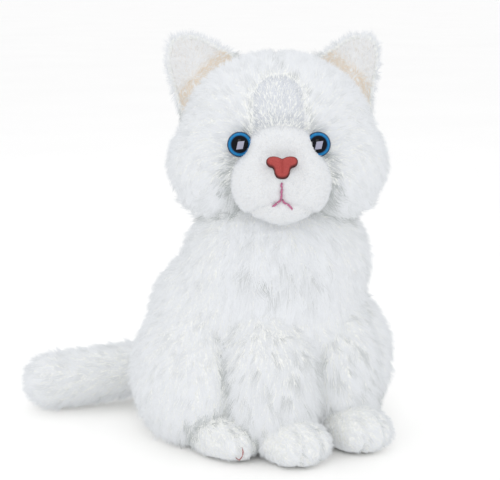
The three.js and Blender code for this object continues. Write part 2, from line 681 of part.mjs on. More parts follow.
function addTail() {
  const skin = tailForm(0).subtract(tailForm(FABRIC));
  const along = new THREE.Matrix4()
    .makeTranslation(...TAIL_ROOT)
    .multiply(new THREE.Matrix4().makeRotationZ(Math.atan2(TAIL_AIM[1], TAIL_AIM[0])))
    .multiply(new THREE.Matrix4().makeRotationY(Math.atan2(TAIL_DROP, -TAIL_AIM[0])));
  const upper = moved(block({ z: [gap, FAR] }), along);
  const lower = moved(block({ z: [-FAR, -gap] }), along);
  piece("tail_upper_panel", skin.intersect(upper), pileFabric());
  piece("tail_lower_panel", skin.intersect(lower), pileFabric());
  piece("tail_stuffing", tailForm(FABRIC + FILL_GAP), fibreFill());

  // The gusset that joins the tail to the rump: a cup round the tail's root.
  const outside = ellipsoid(TAIL_ROOT, [GUSSET_RADIUS, GUSSET_RADIUS, GUSSET_RADIUS]);
  const behind = moved(block({ x: [-FAR, -TAIL_ROOT_RADIUS / 4] }), along);
  const inside = socketBall(TAIL_ROOT, TAIL_ROOT_RADIUS + SEAM_GAP);
  const gusset = cut(outside, inside).intersect(behind);
  piece("tail_gusset", gusset, shortPile());
}

addTorso();
for (const side of [1, -1]) {
  addHindLeg(side);
  addForeleg(side);
  addEar(side);
}
addNeck();
addHead();
addTail();

export default group;
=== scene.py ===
"""Looks of a sitting white plush cat.

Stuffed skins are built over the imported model, plumped by a short cloth simulation and drawn in
along their seams. Combed pile is set into the skins in tufts. The eyes are moulded domes, the
nose is a flocked pad, and the mouth and toes are stitched in thread.

Sizes are in millimetres in the cat's own frame: +Z up, the body faces -Y, its left side is +X.
"""

from __future__ import annotations

import logging
import math
from collections.abc import Callable, Sequence
from dataclasses import dataclass, field
from enum import Enum

import bmesh
import bpy
import numpy as np
from mathutils import Matrix, Vector
from mathutils.bvhtree import BVHTree


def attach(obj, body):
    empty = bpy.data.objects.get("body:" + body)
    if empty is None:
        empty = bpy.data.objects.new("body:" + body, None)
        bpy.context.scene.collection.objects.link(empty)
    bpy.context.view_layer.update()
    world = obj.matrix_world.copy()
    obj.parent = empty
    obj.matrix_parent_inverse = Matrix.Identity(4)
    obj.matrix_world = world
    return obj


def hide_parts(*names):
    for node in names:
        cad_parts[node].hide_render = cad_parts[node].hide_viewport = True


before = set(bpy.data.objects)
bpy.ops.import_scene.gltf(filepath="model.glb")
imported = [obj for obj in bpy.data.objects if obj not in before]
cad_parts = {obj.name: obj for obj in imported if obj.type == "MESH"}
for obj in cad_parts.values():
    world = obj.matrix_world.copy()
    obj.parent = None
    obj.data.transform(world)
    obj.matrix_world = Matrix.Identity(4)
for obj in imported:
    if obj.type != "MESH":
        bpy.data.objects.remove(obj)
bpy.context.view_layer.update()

log = logging.getLogger("plush_cat")

Array = np.ndarray
Triple = tuple[float, float, float]
Field = Callable[[Array, Array], Array]

MM = 0.001
SEED = 20261
FLOOR_CLEARANCE = 0.3
ROOT_DEPTH = 0.6  # how far a strand starts below its skin, in millimetres
HOLLOW_REACH = 12.0  # distance within which another part paints shade into the pile, in millimetres
PAINTED_HOLLOW_SHADE = 3.2  # painted shade: how many yarns darker the pile is at the bottom of a hollow
PAINTED_SEAM_SHADE = 0.45  # how much of that painted shade a seam's dip gets
OPEN_BAND = ((60.0, 78.0), (118.0, 130.0))  # heights over which the painted hollow shade fades out and comes back, in millimetres
SIDES = {"left": 1.0, "right": -1.0}


# --------------------------------------------------------------------------------------------
# Small geometry helpers
# --------------------------------------------------------------------------------------------


def unit(rows: Array) -> Array:
    """Scale each row to length one."""
    length = np.linalg.norm(rows, axis=-1, keepdims=True)
    return rows / np.maximum(length, 1e-9)


def ramp(value: Array, start: float, end: float) -> Array:
    """Rise smoothly from 0 at start to 1 at end."""
    t = np.clip((value - start) / (end - start), 0.0, 1.0)
    return t * t * (3.0 - 2.0 * t)


def mirrored(point: Triple, side: float) -> Triple:
    """Put a point of the left side on the given side."""
    return (side * point[0], point[1], point[2])


def moved(points: Array, matrix: Matrix) -> Array:
    """Apply a matrix in millimetres to rows of points."""
    turn = np.array(matrix.to_3x3())
    return points @ turn.T + np.array(matrix.translation)


def turned(vectors: Array, matrix: Matrix) -> Array:
    """Apply only the rotation of a matrix to rows of vectors."""
    return vectors @ np.array(matrix.to_3x3()).T


def mesh_object(name: str, points: Array, faces: Sequence[Sequence[int]] | Array) -> bpy.types.Object:
    """Make an object from points in millimetres and face indices.

    Args:
        name: The piece's name.
        points: Rows of x, y, z in millimetres.
        faces: Vertex indices of each face.

    Returns:
        The new object, linked to the scene, with smooth faces.
    """
    mesh = bpy.data.meshes.new(name)
    if isinstance(faces, np.ndarray):
        sides = faces.shape[1]
        mesh.vertices.add(len(points))
        mesh.vertices.foreach_set("co", (points * MM).astype(np.float32).ravel())
        mesh.loops.add(faces.size)
        mesh.loops.foreach_set("vertex_index", faces.astype(np.int32).ravel())
        mesh.polygons.add(len(faces))
        mesh.polygons.foreach_set("loop_start", np.arange(0, faces.size, sides, dtype=np.int32))
        mesh.update(calc_edges=True)
    else:
        mesh.from_pydata((points * MM).tolist(), [], [list(face) for face in faces])
    mesh.shade_smooth()
    obj = bpy.data.objects.new(name, mesh)
    bpy.context.scene.collection.objects.link(obj)
    return obj


def points_of(obj: bpy.types.Object) -> Array:
    """Read an object's vertices in millimetres."""
    flat = np.empty(len(obj.data.vertices) * 3, dtype=np.float32)
    obj.data.vertices.foreach_get("co", flat)
    return flat.reshape(-1, 3).astype(np.float64) / MM


def normals_of(obj: bpy.types.Object) -> Array:
    """Read an object's vertex normals."""
    flat = np.empty(len(obj.data.vertices) * 3, dtype=np.float32)
    obj.data.vertex_normals.foreach_get("vector", flat)
    return flat.reshape(-1, 3).astype(np.float64)


def set_points(obj: bpy.types.Object, points: Array) -> None:
    """Write an object's vertices, given in millimetres."""
    obj.data.vertices.foreach_set("co", (points * MM).astype(np.float32).ravel())
    obj.data.update()


def apply_modifiers(obj: bpy.types.Object) -> None:
    """Bake the object's modifiers into its mesh."""
    graph = bpy.context.evaluated_depsgraph_get()
    made = bpy.data.meshes.new_from_object(obj.evaluated_get(graph))
    old = obj.data
    obj.modifiers.clear()
    obj.data = made
    made.name = obj.name
    bpy.data.meshes.remove(old)
    made.shade_smooth()


def triangles_of(obj: bpy.types.Object) -> Array:
    """Read an object's triangles as rows of vertex indices."""
    mesh = obj.data
    mesh.calc_loop_triangles()
    flat = np.empty(len(mesh.loop_triangles) * 3, dtype=np.int32)
    mesh.loop_triangles.foreach_get("vertices", flat)
    return flat.reshape(-1, 3)


# --------------------------------------------------------------------------------------------
# Finishes
# --------------------------------------------------------------------------------------------


@dataclass(frozen=True)
class Finish:
    """A surface finish made of procedural nodes.

    Attributes:
        name: The material's name.
        light: Base colour of most of the surface.
        dark: Base colour where the noise is low, in the dips of its bump: mottling, and painted shade in those
            dips.
        roughness: Mean roughness.
        grain: Size of the mottling, in millimetres.
        relief: Depth of the bump, in millimetres.
        sheen: Weight of the fabric sheen.
        metallic: How metallic the surface is.
        coat: Weight of a clear coat.
    """

    name: str
    light: Triple
    dark: Triple
    roughness: float = 0.9
    grain: float = 2.0
    relief: float = 0.3
    sheen: float = 0.0
    metallic: float = 0.0
    coat: float = 0.0

    def material(self) -> bpy.types.Material:
        """Make the material, or return it if it is there already."""
        found = bpy.data.materials.get(self.name)
        if found:
            return found
        made = bpy.data.materials.new(self.name)
        made.use_nodes = True
        nodes, links = made.node_tree.nodes, made.node_tree.links
        shader = nodes["Principled BSDF"]
        shader.inputs["Metallic"].default_value = self.metallic
        shader.inputs["Sheen Weight"].default_value = self.sheen
        shader.inputs["Specular IOR Level"].default_value = 0.2 if self.roughness > 0.8 else 0.5
        shader.inputs["Sheen Roughness"].default_value = 0.5
        shader.inputs["Coat Weight"].default_value = self.coat
        shader.inputs["Coat Roughness"].default_value = 0.05
        place = nodes.new("ShaderNodeTexCoord")
        noise = nodes.new("ShaderNodeTexNoise")
        noise.inputs["Scale"].default_value = 1.0 / (self.grain * MM)
        noise.inputs["Detail"].default_value = 3.0
        links.new(place.outputs["Object"], noise.inputs["Vector"])
        # The same noise drives the bump, so the dark colour lies in the bump's dips: mottling, and painted
        # shade there.
        tone = nodes.new("ShaderNodeValToRGB")
        tone.color_ramp.elements[0].position = 0.3
        tone.color_ramp.elements[0].color = (*self.dark, 1.0)
        tone.color_ramp.elements[1].position = 0.65
        tone.color_ramp.elements[1].color = (*self.light, 1.0)
        links.new(noise.outputs["Fac"], tone.inputs["Fac"])
        links.new(tone.outputs["Color"], shader.inputs["Base Color"])
        gloss = nodes.new("ShaderNodeMapRange")
        gloss.inputs["To Min"].default_value = min(1.0, self.roughness * 1.08)
        gloss.inputs["To Max"].default_value = self.roughness * 0.92
        links.new(noise.outputs["Fac"], gloss.inputs["Value"])
        links.new(gloss.outputs["Result"], shader.inputs["Roughness"])
        bump = nodes.new("ShaderNodeBump")
        bump.inputs["Distance"].default_value = self.relief * MM
        links.new(noise.outputs["Fac"], bump.inputs["Height"])
        links.new(bump.outputs["Normal"], shader.inputs["Normal"])
        return made


@dataclass(frozen=True)
class Yarn:
    """The plain finish of loose pile fibres.

    Attributes:
        name: The material's name.
        colour: Base colour.
        roughness: Roughness of the fibre.
    """

    name: str
    colour: Triple
    roughness: float = 0.75

    def material(self) -> bpy.types.Material:
        """Make the material, or return it if it is there already."""
        found = bpy.data.materials.get(self.name)
        if found:
            return found
        made = bpy.data.materials.new(self.name)
        made.use_nodes = True
        shader = made.node_tree.nodes["Principled BSDF"]
        shader.inputs["Base Color"].default_value = (*self.colour, 1.0)
        shader.inputs["Roughness"].default_value = self.roughness
        shader.inputs["Specular IOR Level"].default_value = 0.3
        return made


PILE_BACKING = Finish("pile_backing", (0.88, 0.885, 0.875), (0.74, 0.755, 0.73), 0.95, 1.6, 0.4)
SHORN_PILE = Finish("shorn_pile", (0.80, 0.81, 0.82), (0.70, 0.71, 0.72), 0.92, 0.9, 0.5, 0.2)
EAR_VELOUR = Finish("ear_lining_velour", (0.79, 0.79, 0.79), (0.70, 0.68, 0.66), 0.9, 2.5, 0.4, 0.3)
NOSE_FLOCK = Finish("nose_flocking", (0.47, 0.088, 0.08), (0.33, 0.052, 0.05), 0.85, 0.5, 0.25)
MOUTH_THREAD = Finish("mouth_thread", (0.62, 0.22, 0.36), (0.42, 0.10, 0.22), 0.7, 0.4, 0.1)
TOE_THREAD = Finish("toe_thread", (0.45, 0.16, 0.16), (0.28, 0.07, 0.07), 0.7, 0.4, 0.1)
BAG_COTTON = Finish("bag_cotton", (0.80, 0.77, 0.69), (0.66, 0.62, 0.54), 0.9, 1.0, 0.3)
MOULDED_WHITE = Finish("moulded_white", (0.82, 0.82, 0.80), (0.74, 0.74, 0.72), 0.45, 4.0, 0.05)
PALE_FLOOR = Finish("pale_floor", (0.98, 0.98, 0.98), (0.965, 0.965, 0.965), 0.9, 300.0, 0.01)
IRIS_METAL = Finish("iris_metal", (0.06, 0.32, 0.58), (0.02, 0.12, 0.30), 0.3, 0.8, 0.1, 0.0, 0.8)

# Each set runs from light to dark. The first three yarns are mixed at random. The darker yarns past them are
# painted shade, taken in hollows, seam dips and shaded bands.
VELVET_YARNS = (
    Yarn("velvet_yarn_bright", (0.77, 0.79, 0.82)),
    Yarn("velvet_yarn_soft", (0.75, 0.77, 0.80)),
    Yarn("velvet_yarn_shade", (0.70, 0.72, 0.75)),
    Yarn("velvet_yarn_painted_shade", (0.60, 0.62, 0.65)),
)
WHITE_YARNS = (
    Yarn("white_yarn_bright", (0.78, 0.80, 0.83)),
    Yarn("white_yarn_soft", (0.755, 0.775, 0.805)),
    Yarn("white_yarn_shade", (0.715, 0.735, 0.76)),
    Yarn("white_yarn_painted_shade", (0.62, 0.64, 0.655)),
    Yarn("white_yarn_painted_deep_shade", (0.48, 0.505, 0.51)),
)
GREY_YARNS = (
    Yarn("grey_yarn_bright", (0.64, 0.665, 0.715)),
    Yarn("grey_yarn_soft", (0.62, 0.645, 0.695)),
    Yarn("grey_yarn_shade", (0.60, 0.625, 0.67)),
    Yarn("grey_yarn_painted_shade", (0.54, 0.565, 0.605)),
)
BEIGE_YARNS = (
    Yarn("down_yarn_white", (0.80, 0.81, 0.83)),
    Yarn("down_yarn_cream", (0.78, 0.74, 0.70)),
    Yarn("down_yarn_beige", (0.72, 0.62, 0.51)),
)


# --------------------------------------------------------------------------------------------
# Stuffed skins
# --------------------------------------------------------------------------------------------


@dataclass(frozen=True)
class Ball:
    """One rounded lobe of a stuffed form.

    Attributes:
        centre: Its centre.
        radii: Its half sizes.
        yaw: Its turn about the upright axis, in degrees.
    """

    centre: Triple
    radii: Triple
    yaw: float = 0.0

    def matrix(self, inset: float) -> Matrix:
        """Place a unit ball here, made smaller all round by the inset."""
        turn = Matrix.Rotation(math.radians(self.yaw), 4, "Z")
        size = Matrix.Diagonal((*[r - inset for r in self.radii], 1.0))
        return Matrix.Translation(self.centre) @ turn @ size

    def on(self, side: float) -> Ball:
        """Return this ball on the given side of the cat."""
        return Ball(mirrored(self.centre, side), self.radii, side * self.yaw)


def rod(start: Triple, end: Triple, start_radius: float, end_radius: float, count: int = 9) -> list[Ball]:
    """Lay balls in a row, as a rounded rod.

    Args:
        start: Centre of the first ball.
        end: Centre of the last ball.
        start_radius: Radius of the first ball.
        end_radius: Radius of the last ball.
        count: How many balls.

    Returns:
        The balls in order.
    """
    balls = []
    for share in np.linspace(0.0, 1.0, count):
        centre = tuple(np.array(start) * (1 - share) + np.array(end) * share)
        radius = start_radius * (1 - share) + end_radius * share
        balls.append(Ball(centre, (radius, radius, radius)))
    return balls


@dataclass
class Skin:
    """The sewn skin of one stuffed part.

    Attributes:
        name: The piece's name.
        body: The body it rides on.
        balls: The lobes it is made of.
        place: Where the lobes' own frame stands, in millimetres.
        inset: How far the skin lies inside the lobes, to leave room for the pile.
        voxel: Size of its faces before the last subdivision, in millimetres.
        rounds: How often it is smoothed.
        swell: How far the stuffing may push it out, in millimetres.
        seam: Distance to the nearest seam, in the lobes' own frame.
        seam_depth: How far the seams are drawn in.
        seam_width: Half width of the dip along a seam.
        floor: Height of the floor under it, or None where it is held clear.
    """

    name: str
    body: str
    balls: list[Ball]
    place: Matrix = field(default_factory=Matrix)
    inset: float = 3.5
    voxel: float = 5.0
    rounds: int = 6
    swell: float = 5.0
    seam: Callable[[Array], Array] | None = None
    seam_depth: float = 1.6
    seam_width: float = 3.0
    floor: float | None = FLOOR_CLEARANCE
    piece: bpy.types.Object | None = None
    tree: BVHTree | None = None

    def build(self) -> Skin:
        """Make the skin's mesh, stuff it, and draw in its seams."""
        bm = bmesh.new()
        for ball in self.balls:
            matrix = self.place @ ball.matrix(self.inset)
            bmesh.ops.create_icosphere(bm, subdivisions=4, radius=1.0, matrix=matrix)
        mesh = bpy.data.meshes.new(self.name)
        bm.to_mesh(mesh)
        bm.free()
        mesh.transform(Matrix.Scale(MM, 4))
        self.piece = bpy.data.objects.new(self.name, mesh)
        bpy.context.scene.collection.objects.link(self.piece)
        remesh = self.piece.modifiers.new("remesh", "REMESH")
        remesh.mode = "VOXEL"
        remesh.voxel_size = self.voxel * MM
        smooth = self.piece.modifiers.new("smooth", "SMOOTH")
        smooth.factor = 0.5
        smooth.iterations = self.rounds
        apply_modifiers(self.piece)
        self._stuff()
        finer = self.piece.modifiers.new("finer", "SUBSURF")
        finer.levels = finer.render_levels = 1
        apply_modifiers(self.piece)
        self._draw_in()
        self._sit()
        self.index()
        return self

    def _local(self) -> Array:
        """Return the skin's points in the lobes' own frame."""
        return moved(points_of(self.piece), self.place.inverted())

    def _stuff(self) -> None:
        """Press the skin out with its stuffing, held back along its seams."""
        start = points_of(self.piece)
        group = self.piece.vertex_groups.new(name="held")
        if self.seam is not None:
            held = 1.0 - ramp(self.seam(self._local()), self.seam_width, 3.0 * self.seam_width)
        else:
            held = np.zeros(len(start))
        for index in np.nonzero(held > 0.02)[0].tolist():
            group.add([index], float(held[index]), "REPLACE")
        cloth = self.piece.modifiers.new("stuffing", "CLOTH")
        settings = cloth.settings
        settings.quality = 5
        settings.mass = 0.3
        settings.tension_stiffness = settings.compression_stiffness = 12.0
        settings.bending_stiffness = 2.0
        settings.use_pressure = True
        settings.uniform_pressure_force = 4.0
        settings.effector_weights.gravity = 0.0
        settings.vertex_group_mass = group.name
        cloth.point_cache.frame_start = 1
        cloth.point_cache.frame_end = 20
        scene = bpy.context.scene
        for number in range(1, 21):
            scene.frame_set(number)
        apply_modifiers(self.piece)
        scene.frame_set(1)
        pushed = points_of(self.piece) - start
        length = np.linalg.norm(pushed, axis=1, keepdims=True)
        cap = self.swell * np.tanh(length / self.swell)
        set_points(self.piece, start + pushed / np.maximum(length, 1e-6) * cap)

    def _draw_in(self) -> None:
        """Pull the skin in along its seams."""
        if self.seam is None:
            return
        points = points_of(self.piece)
        near = np.exp(-((self.seam(self._local()) / self.seam_width) ** 2))
        set_points(self.piece, points - normals_of(self.piece) * (self.seam_depth * near)[:, None])

    def _sit(self) -> None:
        """Flatten the skin where it rests on the floor."""
        if self.floor is None:
            return
        points = points_of(self.piece)
        soft = 2.5
        low = points[:, 2] - self.floor
        pressed = soft * np.exp(np.minimum(low / soft - 1.0, 0.0))
        points[:, 2] = self.floor + np.where(low > soft, low, pressed)
        set_points(self.piece, points)

    def index(self) -> None:
        """Keep a search tree of the finished skin, in millimetres."""
        points = points_of(self.piece)
        self.tree = BVHTree.FromPolygons(points.tolist(), triangles_of(self.piece).tolist())

    def covers(self, points: Array, margin: float) -> Array:
        """Tell which points lie inside the skin, or nearer to it than the margin.

        Args:
            points: Rows of points in millimetres.
            margin: Extra distance outside the skin.

        Returns:
            One flag for each point.
        """
        corners = points_of(self.piece)
        low, high = corners.min(axis=0) - margin, corners.max(axis=0) + margin
        inside = np.zeros(len(points), dtype=bool)
        near = np.nonzero(np.all((points > low) & (points < high), axis=1))[0]
        for index in near.tolist():
            spot = Vector(points[index])
            hit, normal, _, _ = self.tree.find_nearest(spot)
            inside[index] = (spot - hit).dot(normal) < margin
        return inside

    def gap(self, points: Array, reach: float) -> Array:
        """Return each point's distance to the skin, or the reach where it is farther."""
        corners = points_of(self.piece)
        low, high = corners.min(axis=0) - reach, corners.max(axis=0) + reach
        found = np.full(len(points), reach)
        for index in np.nonzero(np.all((points > low) & (points < high), axis=1))[0].tolist():
            distance = self.tree.find_nearest(Vector(points[index]), reach)[3]
            found[index] = reach if distance is None else distance
        return found

    def crease(self, points: Array) -> Array:
        """Return 1 in the dip of a seam, falling to 0 beside it."""
        if self.seam is None:
            return np.zeros(len(points))
        away = self.seam(moved(points, self.place.inverted()))
        return 1.0 - ramp(away, 0.4 * self.seam_width, 1.8 * self.seam_width)

    def dress(self, finish: Finish, slot: str, replaced: Sequence[str] = ()) -> None:
        """Give the skin its finish and its body, and hide the solids that it stands for."""
        self.piece.data.materials.clear()
        self.piece.data.materials.append(finish.material())
        settle(self.piece, self.body, replaced)


def settle(piece: bpy.types.Object, body: str, replaced: Sequence[str] = ()) -> None:
    """Put a piece on its body.

    Args:
        piece: The finished piece.
        body: The body it rides on.
        replaced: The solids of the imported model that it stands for.
    """
    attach(piece, body)
    if replaced:
        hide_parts(*replaced)
    log.info("%s rides on %s, %d faces", piece.name, body, len(piece.data.polygons))


# --------------------------------------------------------------------------------------------
# Pile
# --------------------------------------------------------------------------------------------


class Cut(Enum):
    """How the ends of the pile are made."""

    STRAIGHT = "straight"
    CURVED = "curved"


@dataclass(frozen=True)
class Pile:
    """One kind of pile.

    Attributes:
        length: Length of a strand.
        width: Thickness of a strand at its root.
        density: Strands in a square millimetre.
        lift: Angle between the strands and the skin, in degrees.
        tuft: Size of a tuft.
        gather: How far the strands of a tuft draw together, from 0 to 1.
        sway: How much the tufts differ in direction.
        cut: Whether the strands are straight or curved.
    """

    length: float
    width: float
    density: float
    lift: float
    tuft: float = 4.0
    gather: float = 0.5
    sway: float = 0.35
    cut: Cut = Cut.STRAIGHT


PLUSH = Pile(7.5, 0.46, 1.3, 33.0, gather=0.4, sway=0.28)
LEG_PLUSH = Pile(8.0, 0.46, 1.3, 32.0, gather=0.45, sway=0.32)
HEAD_PLUSH = Pile(6.5, 0.44, 1.5, 36.0, tuft=3.6, gather=0.38, sway=0.28)
EAR_PLUSH = Pile(6.0, 0.42, 2.0, 32.0, tuft=3.0, gather=0.35, sway=0.3)
SHORT_PLUSH = Pile(3.2, 0.42, 2.2, 30.0, tuft=2.4, gather=0.2, sway=0.14)
PAW_PLUSH = Pile(5.0, 0.44, 1.6, 34.0, tuft=3.0, gather=0.35, sway=0.22)
VELVET = Pile(1.7, 0.36, 2.4, 36.0, tuft=1.8, gather=0.3, sway=0.5)
RUFF = Pile(14.0, 0.6, 0.45, 24.0, tuft=6.0, gather=0.65, sway=0.3, cut=Cut.CURVED)


def scatter(skin: bpy.types.Object, density: float, rng: np.random.Generator) -> tuple[Array, Array]:
    """Pick the roots of strands, evenly over a skin.

    Args:
        skin: The skin's object.
        density: Roots in a square millimetre.
        rng: Source of chance.

    Returns:
        The roots and the skin's normals there.
    """
    points, normals, corners = points_of(skin), normals_of(skin), triangles_of(skin)
    a, b, c = (points[corners[:, k]] for k in range(3))
    area = 0.5 * np.linalg.norm(np.cross(b - a, c - a), axis=1)
    wanted = rng.poisson(area * density)
    which = np.repeat(np.arange(len(corners)), wanted)
    u, v = rng.random(len(which)), rng.random(len(which))
    over = u + v > 1.0
    u[over], v[over] = 1.0 - u[over], 1.0 - v[over]
    w = 1.0 - u - v
    shares = np.stack([w, u, v], axis=1)[:, :, None]
    roots = (points[corners[which]] * shares).sum(axis=1)
    up = unit((normals[corners[which]] * shares).sum(axis=1))
    return roots, up


def group_mean(values: Array, group: Array, count: int) -> Array:
    """Average rows over the groups that they belong to."""
    total = np.bincount(group, minlength=count).astype(float)
    return np.stack([np.bincount(group, values[:, k], count) / total for k in range(3)], axis=1)


@dataclass
class Coat:
    """Pile set into one skin.

    Attributes:
        name: The piece's name.
        skin: The skin that it grows from.
        pile: The kind of pile.
        comb: Direction in which the pile lies, for each root and normal.
        yarns: Finishes of the strands, the commonest first.
        seed: Number that fixes every chance in it.
        length: Share of the pile's length at each root, 0 where none grows.
        clear_of: Skins that it must not grow under.
        beside: Skins whose nearness paints shade into it, if they aren't those that it stays clear of.
        floor: Whether its tips stay above the floor.
        tint: Mean place in the yarns at each root, in place of the usual mixture.
        shade: Painted shade at each root, from 0 to 1, on top of that of hollows and seams.
    """

    name: str
    skin: Skin
    pile: Pile
    comb: Field
    yarns: tuple[Yarn, ...]
    seed: int
    length: Field | None = None
    clear_of: Sequence[Skin] = ()
    floor: bool = True
    tint: Field | None = None
    shade: Field | None = None
    beside: Sequence[Skin] | None = None

    def build(self, slot: str = "pile_fabric", body: str | None = None) -> bpy.types.Object:
        """Grow the strands and put them on the skin's body.

        Args:
            slot: Not used.
            body: The body it rides on, if it isn't the skin's.

        Returns:
            The coat's object.
        """
        pile = self.pile
        rng = np.random.default_rng(SEED + self.seed)
        roots, up = scatter(self.skin.piece, pile.density, rng)
        share = np.ones(len(roots)) if self.length is None else self.length(roots, up)
        keep = share > 0.05
        for other in self.clear_of:
            spots = roots[keep] + up[keep] * 0.5
            keep[np.nonzero(keep)[0]] = ~other.covers(spots, 0.4)
        roots, up, share = roots[keep], up[keep], share[keep]
        count = len(roots)
        cells = np.floor(roots / pile.tuft + 0.35 * np.sin(roots / (1.7 * pile.tuft))[:, [1, 2, 0]])
        _, group = np.unique(cells.astype(int), axis=0, return_inverse=True)
        group = group.ravel()
        tufts = int(group.max()) + 1
        lie = self.comb(roots, up) + rng.normal(0, pile.sway, (tufts, 3))[group]
        lie += rng.normal(0, 0.18, (count, 3))
        lie = unit(lie - up * (lie * up).sum(axis=1, keepdims=True))
        lift = np.radians(pile.lift + rng.normal(0, 9, tufts)[group] + rng.normal(0, 7, count))
        lift = lift[:, None]
        reach = pile.length * share * rng.uniform(0.8, 1.2, tufts)[group] * rng.uniform(0.8, 1.1, count)
        reach = reach[:, None]
        tips = roots + reach * (np.cos(lift) * lie + np.sin(lift) * up)
        middle_tip = group_mean(tips, group, tufts)[group]
        tips += pile.gather * (middle_tip - tips) * rng.uniform(0.6, 1.0, (count, 1))
        if self.floor:
            tips[:, 2] = np.maximum(tips[:, 2], FLOOR_CLEARANCE)
        tone = rng.choice(3, tufts, p=[0.5, 0.32, 0.18])[group].astype(float)
        if self.tint is not None:
            tone = self.tint(roots, up)
        # Painted shade: the pile takes darker yarns in hollows, seam dips and shaded bands.
        tone += PAINTED_HOLLOW_SHADE * self._painted_hollow_shade(roots, up, group, tufts) + rng.normal(0, 0.3, count)
        tone = np.clip(np.rint(tone), 0, len(self.yarns) - 1).astype(int)
        obj = self._strands(roots, tips, up, reach, rng)
        faces_each = len(obj.data.polygons) // count
        for yarn in self.yarns:
            obj.data.materials.append(yarn.material())
        obj.data.polygons.foreach_set("material_index", np.repeat(tone, faces_each).astype(np.int32))
        obj.visible_diffuse = False
        settle(obj, body or self.skin.body)
        return obj

    def _painted_hollow_shade(self, roots: Array, up: Array, group: Array, tufts: int) -> Array:
        """Tell how much painted shade each root gets: near other parts, in seam dips and from the shade field.

        Args:
            roots: Where the strands start.
            up: The skin's normals.
            group: The tuft of each strand.
            tufts: How many tufts there are.

        Returns:
            One value for each root, from 0 in the open to 1.
        """
        middles = group_mean(roots + 2.0 * up, group, tufts)
        near = np.zeros(tufts)
        for other in self.clear_of if self.beside is None else self.beside:
            near = np.maximum(near, 1.0 - ramp(other.gap(middles, HOLLOW_REACH + 1.0), 1.5, HOLLOW_REACH))
        height = roots[:, 2]
        below, above = OPEN_BAND
        near = near[group] * np.maximum(1.0 - ramp(height, *below), ramp(height, *above))
        hollow = np.maximum(near, PAINTED_SEAM_SHADE * self.skin.crease(roots))
        return hollow if self.shade is None else np.maximum(hollow, self.shade(roots, up))

    def _strands(
        self, roots: Array, tips: Array, up: Array, reach: Array, rng: np.random.Generator
    ) -> bpy.types.Object:
        """Make each strand a thin closed spike.

        Args:
            roots: Where the strands start.
            tips: Where they end.
            up: The skin's normals.
            reach: The strands' lengths.
            rng: Source of chance.

        Returns:
            The object that holds them all.
        """
        count = len(roots)
        along = unit(tips - roots)
        across = unit(np.cross(up, along))
        over = np.cross(along, across)
        turn = np.pi / 6 + rng.normal(0, 0.3, count)
        rims = [(roots - along * ROOT_DEPTH, 1.0)]
        if self.pile.cut is Cut.CURVED:
            rims.append((roots + (tips - roots) * 0.5 + up * reach * 0.13, 0.8))
        rows = []
        for centre, share in rims:
            for corner in range(3):
                angle = (turn + corner * 2 * np.pi / 3)[:, None]
                out = np.cos(angle) * across + 0.6 * np.sin(angle) * over
                rows.append(centre + out * self.pile.width * 0.5 * share)
        rows.append(tips)
        each = len(rows)
        points = np.stack(rows, axis=1).reshape(-1, 3)
        pattern = [(0, 2, 1)]
        last = 3 * (len(rims) - 1)
        if len(rims) > 1:
            for k in range(3):
                n = (k + 1) % 3
                pattern += [(k, n, 3 + n), (k, 3 + n, 3 + k)]
        pattern += [(last + k, last + (k + 1) % 3, each - 1) for k in range(3)]
        faces = (np.array(pattern)[None] + (np.arange(count) * each)[:, None, None]).reshape(-1, 3)
        obj = mesh_object(self.name, points, faces)
        a, b, c = (points[faces[:, k]] for k in range(3))
        flat = unit(np.cross(b - a, c - a))
        skyward = np.repeat(up, len(pattern), axis=0)
        lean = 0.3 + 1.2 * np.clip((flat * skyward).sum(axis=1, keepdims=True), 0.0, 1.0)
        looks = np.repeat(unit(flat + lean * skyward), 3, axis=0)
        obj.data.normals_split_custom_set(looks.astype(np.float32))
        return obj


# --------------------------------------------------------------------------------------------
# Thread
# --------------------------------------------------------------------------------------------


@dataclass(frozen=True)
class Thread:
    """Twisted embroidery thread.

    Attributes:
        radius: Radius of the whole thread.
        plies: How many yarns are twisted together.
        pitch: Length of one twist.
        sides: Corners round each yarn.
    """

    radius: float = 0.6
    plies: int = 2
    pitch: float = 2.4
    sides: int = 6

    def sew(self, name: str, stitches: Sequence[tuple[Array, Array]], finish: Finish) -> bpy.types.Object:
        """Make a row of stitches.

        Args:
            name: The piece's name.
            stitches: For each stitch its path, and the direction away from the cloth.
            finish: The thread's finish.

        Returns:
            The object that holds all the stitches.
        """
        points: list[Array] = []
        faces: list[tuple[int, ...]] = []
        for path, up in stitches:
            along = unit(np.gradient(path, axis=0))
            across = unit(np.cross(along, up))
            over = np.cross(across, along)
            run = np.concatenate([[0.0], np.cumsum(np.linalg.norm(np.diff(path, axis=0), axis=1))])
            for ply in range(self.plies):
                phase = (2 * np.pi * (run / self.pitch + ply / self.plies))[:, None]
                core = path + 0.45 * self.radius * (np.cos(phase) * across + np.sin(phase) * over)
                self._yarn(core, across, over, points, faces)
        obj = mesh_object(name, np.concatenate(points), faces)
        obj.data.materials.append(finish.material())
        return obj

    def _yarn(
        self, core: Array, across: Array, over: Array, points: list[Array], faces: list[tuple[int, ...]]
    ) -> None:
        """Add one yarn, closed at both ends.

        Args:
            core: The yarn's middle line.
            across: Directions to its side.
            over: Directions away from the cloth.
            points: Rows of points made so far, added to.
            faces: Faces made so far, added to.
        """
        start = sum(len(rows) for rows in points)
        angles = np.linspace(0, 2 * np.pi, self.sides, endpoint=False)
        for k in range(len(core)):
            ring = np.cos(angles)[:, None] * across[k] + np.sin(angles)[:, None] * over[k]
            points.append(core[k] + 0.6 * self.radius * ring)
        for k in range(len(core) - 1):
            low, high = start + k * self.sides, start + (k + 1) * self.sides
            for n in range(self.sides):
                m = (n + 1) % self.sides
                faces.append((low + n, low + m, high + m, high + n))
        faces.append(tuple(range(start, start + self.sides))[::-1])
        last = start + (len(core) - 1) * self.sides
        faces.append(tuple(range(last, last + self.sides)))


